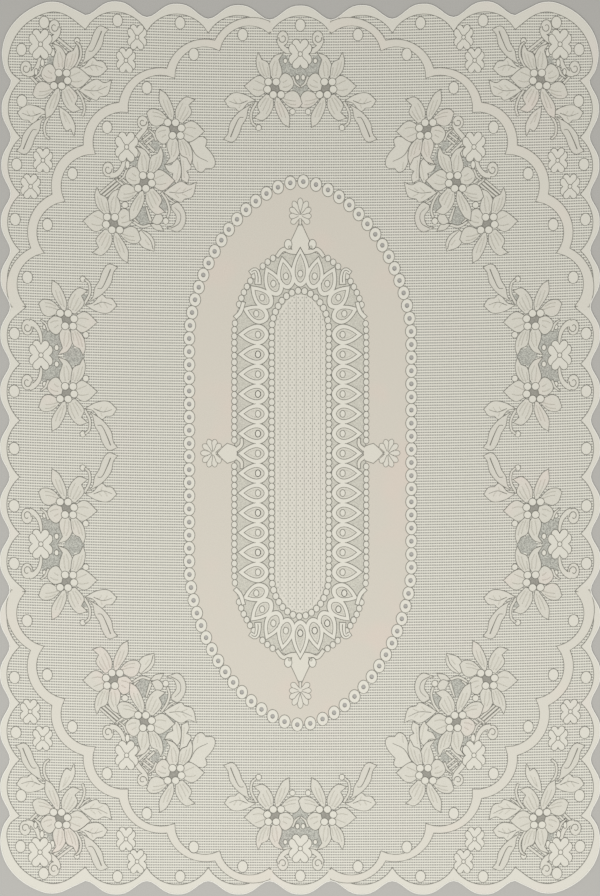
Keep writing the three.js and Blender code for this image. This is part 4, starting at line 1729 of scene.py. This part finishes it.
@dataclass(frozen=True)
class Knit:
    """Finish of matt knitted yarn, with painted shade on its low parts and in sunk middles.

    Args:
        name: Name of the material.
        tint: Colour of the yarn.
        blush: Colour in its soft patches.
        roughness: Roughness of the yarn.
        stitch: Size of a stitch in metres.
        shade: Brightness of the painted shade at the foot of the relief.
        dish: Brightness of the painted shade in sunk middles, below the full rim.
        fleck: How far its flecks are lighter or darker.
        sheen: Sheen of the yarn.
        cloud_scale: Patches in a metre.
        cloud_edge: Where a patch starts and where it is full, in the noise.
        fleck_scale: Flecks in a metre.
        fleck_edge: Where a fleck is darkest and lightest, in the noise.
        depth: Heights where the painted shade is set: the foot, the sunk middle's two ends and the rim, in
            parts of the relief.
        relief: Height of the relief in metres.
        bump: Strength of the stitches, and their depth in metres.
    """

    name: str
    tint: tuple[float, float, float]
    blush: tuple[float, float, float]
    roughness: float = 0.9
    stitch: float = 0.0012
    shade: float = 0.2
    dish: float = 0.93
    fleck: float = 0.0
    sheen: float = 0.15
    cloud_scale: float = 9.0
    cloud_edge: tuple[float, float] = (0.54, 0.68)
    fleck_scale: float = 650.0
    fleck_edge: tuple[float, float] = (0.35, 0.65)
    depth: tuple[float, float, float, float] = (0.15, 0.46, 0.82, 0.95)
    relief: float = 2 * MM
    bump: tuple[float, float] = (0.35, 0.0002)

    def yarn(self, wiring: Wiring, place: bpy.types.Node) -> bpy.types.Node:
        """Adds the yarn's colour.

        Args:
            wiring: Nodes of the material.
            place: The node that gives the place on the cloth.

        Returns:
            The mix of the yarn's colour and its blush.
        """
        cloud = wiring.add("TexNoise", {"Scale": self.cloud_scale, "Detail": 2.0})
        start, full = self.cloud_edge
        share = wiring.add("MapRange", {"From Min": start, "From Max": full})
        blend = wiring.add("Mix", data_type="RGBA")
        blend.inputs[FIRST].default_value = (*self.tint, 1)
        blend.inputs[SECOND].default_value = (*self.blush, 1)
        wiring.join(place, "Object", cloud, "Vector")
        wiring.join(cloud, "Fac", share, "Value")
        wiring.join(share, "Result", blend, 0)
        return blend

    def painted_shade(self, wiring: Wiring, place: bpy.types.Node) -> bpy.types.Node:
        """Adds the painted shade: darker colour on the low parts and in sunk middles.

        Args:
            wiring: Nodes of the material.
            place: The node that gives the place on the cloth.

        Returns:
            The ramp that gives the brightness at each height.
        """
        height = wiring.add("SeparateXYZ")
        share = wiring.add("Math", {1: self.relief}, operation="DIVIDE")
        ramp = wiring.add("ValToRGB")
        stops = ramp.color_ramp.elements
        foot, middle, dish_shade_end, rim = self.depth
        stops[0].position = foot
        stops[0].color = (self.shade, self.shade, self.shade, 1)
        stops[1].position = middle
        stops[1].color = (self.dish, self.dish, self.dish, 1)
        for at, tone in ((dish_shade_end, self.dish), (rim, 1.0)):
            stops.new(at).color = (tone, tone, tone, 1)
        wiring.join(place, "Object", height, "Vector")
        wiring.join(height, "Z", share, 0)
        wiring.join(share, 0, ramp, "Fac")
        return ramp

    def flecks(self, wiring: Wiring, place: bpy.types.Node) -> bpy.types.Node:
        """Adds the flecks.

        Args:
            wiring: Nodes of the material.
            place: The node that gives the place on the cloth.

        Returns:
            The node that gives their brightness.
        """
        speckle = wiring.add("TexNoise", {"Scale": self.fleck_scale, "Detail": 1.0})
        dark, light = self.fleck_edge
        spread = wiring.add("MapRange", {
            "From Min": dark, "From Max": light, "To Min": 1 - self.fleck, "To Max": 1 + self.fleck,
        })
        wiring.join(place, "Object", speckle, "Vector")
        wiring.join(speckle, "Fac", spread, "Value")
        return spread

    def material(self) -> bpy.types.Material:
        """Makes the material.

        Returns:
            Yarn with a soft blush, painted shade low down and in sunk middles, flecked, and with a fine
            stitch bump.
        """
        material = bpy.data.materials.new(self.name)
        material.use_nodes = True
        wiring = Wiring(material.node_tree)
        shader = material.node_tree.nodes["Principled BSDF"]
        shader.inputs["Roughness"].default_value = self.roughness
        shader.inputs["Sheen Weight"].default_value = self.sheen
        place = wiring.add("TexCoord")
        # painted shade: the colour is darkened by height, low down and in sunk middles
        shaded = wiring.multiplied(self.yarn(wiring, place), self.painted_shade(wiring, place), "Color")
        flecked = wiring.multiplied(shaded, self.flecks(wiring, place), "Result")
        wiring.join(flecked, MIXED, shader, "Base Color")
        stitches = wiring.add("TexVoronoi", {"Scale": 1 / self.stitch})
        strength, distance = self.bump
        bump = wiring.add("Bump", {"Strength": strength, "Distance": distance})
        wiring.join(place, "Object", stitches, "Vector")
        wiring.join(stitches, "Distance", bump, "Height")
        wiring.join(bump, "Normal", shader, "Normal")
        return material


# shade and dish set how dark the painted shade is low down and in sunk middles of each finish
FINISHES = {
    "net": Knit("net_yarn", (0.70, 0.685, 0.595), (0.705, 0.68, 0.595), shade=0.75, dish=1.0),
    "border": Knit("border_cloth", (0.65, 0.63, 0.55), (0.665, 0.625, 0.555), dish=1.0),
    "band": Knit("band_cloth", (0.635, 0.61, 0.53), (0.65, 0.61, 0.53), dish=1.0),
    "rim": Knit("rim_cloth", (0.76, 0.745, 0.68), (0.76, 0.74, 0.68), dish=1.0),
    "oval": Knit("oval_cloth", (0.595, 0.557, 0.477), (0.62, 0.553, 0.475), dish=1.0),
    "clothwork": Knit("bead_cloth", (0.68, 0.66, 0.575), (0.68, 0.655, 0.575), dish=0.95),
    "thin": Knit("thin_cloth", (0.40, 0.40, 0.35), (0.40, 0.39, 0.345), dish=1.0, fleck=0.3),
    "mesh": Knit("mesh_cloth", (0.53, 0.515, 0.44), (0.53, 0.51, 0.44), dish=1.0, fleck=0.12),
    "field": Knit("field_cloth", (0.60, 0.58, 0.50), (0.60, 0.575, 0.50), dish=1.0, fleck=0.08),
    "panel": Knit("panel_cloth", (0.645, 0.62, 0.54), (0.645, 0.615, 0.54), dish=1.0),
    "bright": Knit("drop_cloth", (0.65, 0.625, 0.54), (0.65, 0.62, 0.54)),
    "petal": Knit("petal_cloth", (0.612, 0.592, 0.513), (0.645, 0.59, 0.518), fleck=0.04),
    "leaf": Knit("leaf_cloth", (0.63, 0.61, 0.53), (0.635, 0.605, 0.53), dish=0.96, fleck=0.03),
    "heart": Knit("heart_cloth", (0.29, 0.28, 0.24), (0.29, 0.28, 0.24), shade=1.0, dish=1.0, fleck=0.15),
    # painted shade: the dark sole colour stands in for the shade in the gaps round the shapes
    "sole": Knit("painted_shade_sole", (0.20, 0.195, 0.165), (0.20, 0.195, 0.165), shade=1.0, dish=1.0),
}


@dataclass
class Studio:
    """Pale floor, soft light and the camera straight above, in metres."""

    floor_size: float = 6.0
    floor_below: float = 0.0002
    floor_tint: tuple[float, float, float] = (0.42, 0.41, 0.38)
    floor_roughness: float = 0.8
    sky_strength: float = 0.62
    light_size: tuple[float, float] = (2.4, 1.6)
    light_power: float = 54.0
    light_at: tuple[float, float, float] = (-0.3, -1.3, 2.75)
    camera_height: float = 6.0
    sensor: float = 24.0
    photo: tuple[float, float] = (600.0, 896.0)
    pattern_at: tuple[float, float] = (300.3, 447.5)

    def floor(self) -> None:
        """Lays the floor just under the cloth."""
        bm = bmesh.new()
        bmesh.ops.create_grid(bm, x_segments=1, y_segments=1, size=self.floor_size / 2)
        bmesh.ops.translate(bm, verts=bm.verts[:], vec=(0, 0, -self.floor_below))
        mesh = bpy.data.meshes.new("floor")
        bm.to_mesh(mesh)
        bm.free()
        floor = bpy.data.objects.new("floor", mesh)
        bpy.context.scene.collection.objects.link(floor)
        material = bpy.data.materials.new("pale_floor")
        material.use_nodes = True
        shader = material.node_tree.nodes["Principled BSDF"]
        shader.inputs["Base Color"].default_value = (*self.floor_tint, 1)
        shader.inputs["Roughness"].default_value = self.floor_roughness
        mesh.materials.append(material)

    def lights(self) -> None:
        """Hangs one broad soft light beyond the near end, over a dim even sky."""
        world = bpy.data.worlds.new("studio")
        bpy.context.scene.world = world
        world.use_nodes = True
        sky = world.node_tree.nodes["Background"]
        sky.inputs["Color"].default_value = (1, 1, 1, 1)
        sky.inputs["Strength"].default_value = self.sky_strength
        data = bpy.data.lights.new("softbox", "AREA")
        data.shape = "RECTANGLE"
        data.size, data.size_y = self.light_size
        data.energy = self.light_power
        lamp = bpy.data.objects.new("softbox", data)
        lamp.location = self.light_at
        lamp.rotation_euler = (-lamp.location).to_track_quat("-Z", "Y").to_euler()
        bpy.context.scene.collection.objects.link(lamp)

    def camera(self) -> None:
        """Sets the long camera straight above, framed as the photograph is."""
        data = bpy.data.cameras.new("above")
        data.sensor_fit = "VERTICAL"
        data.sensor_height = self.sensor
        data.lens = data.sensor_height * self.camera_height / (self.photo[1] * PIXEL * MM)
        camera = bpy.data.objects.new("above", data)
        shift_x = (self.photo[0] / 2 - self.pattern_at[0]) * PIXEL * MM
        shift_y = (self.pattern_at[1] - self.photo[1] / 2) * PIXEL * MM
        camera.location = (shift_x, shift_y, self.camera_height)
        bpy.context.scene.collection.objects.link(camera)
        bpy.context.scene.camera = camera


def main() -> None:
    """Builds the cloth and the studio, and reports each piece."""
    logging.basicConfig(level=logging.INFO, format="%(message)s")
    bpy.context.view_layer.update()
    bpy.context.scene.view_settings.view_transform = "Standard"
    studio = Studio()
    studio.camera()
    studio.lights()
    studio.floor()
    lay = Lay()
    border = Border()
    medallion = Medallion()
    shapes = [*border.shapes(), *medallion.shapes(), *Garden().shapes()]
    finishes = {name: knit.material() for name, knit in FINISHES.items()}
    pieces = Clothwork(shapes).build(lay, finishes)
    pieces += Clothwork([border.rim_shape()]).build(lay, finishes)
    ground = NetGround()
    whole_oval = Shape([medallion.oval(medallion.ring_line)])
    net = Piece("net")
    ground.wales(net, border.edge_line(), medallion.eyelets())
    ground.bars(net, border.net_line(), [*shapes[1:], whole_oval])
    cloth = net.finish(lay, finishes["net"])
    cut = abs(area_of(border.edge_line())) * MM * MM


if __name__ == "__main__":
    main()
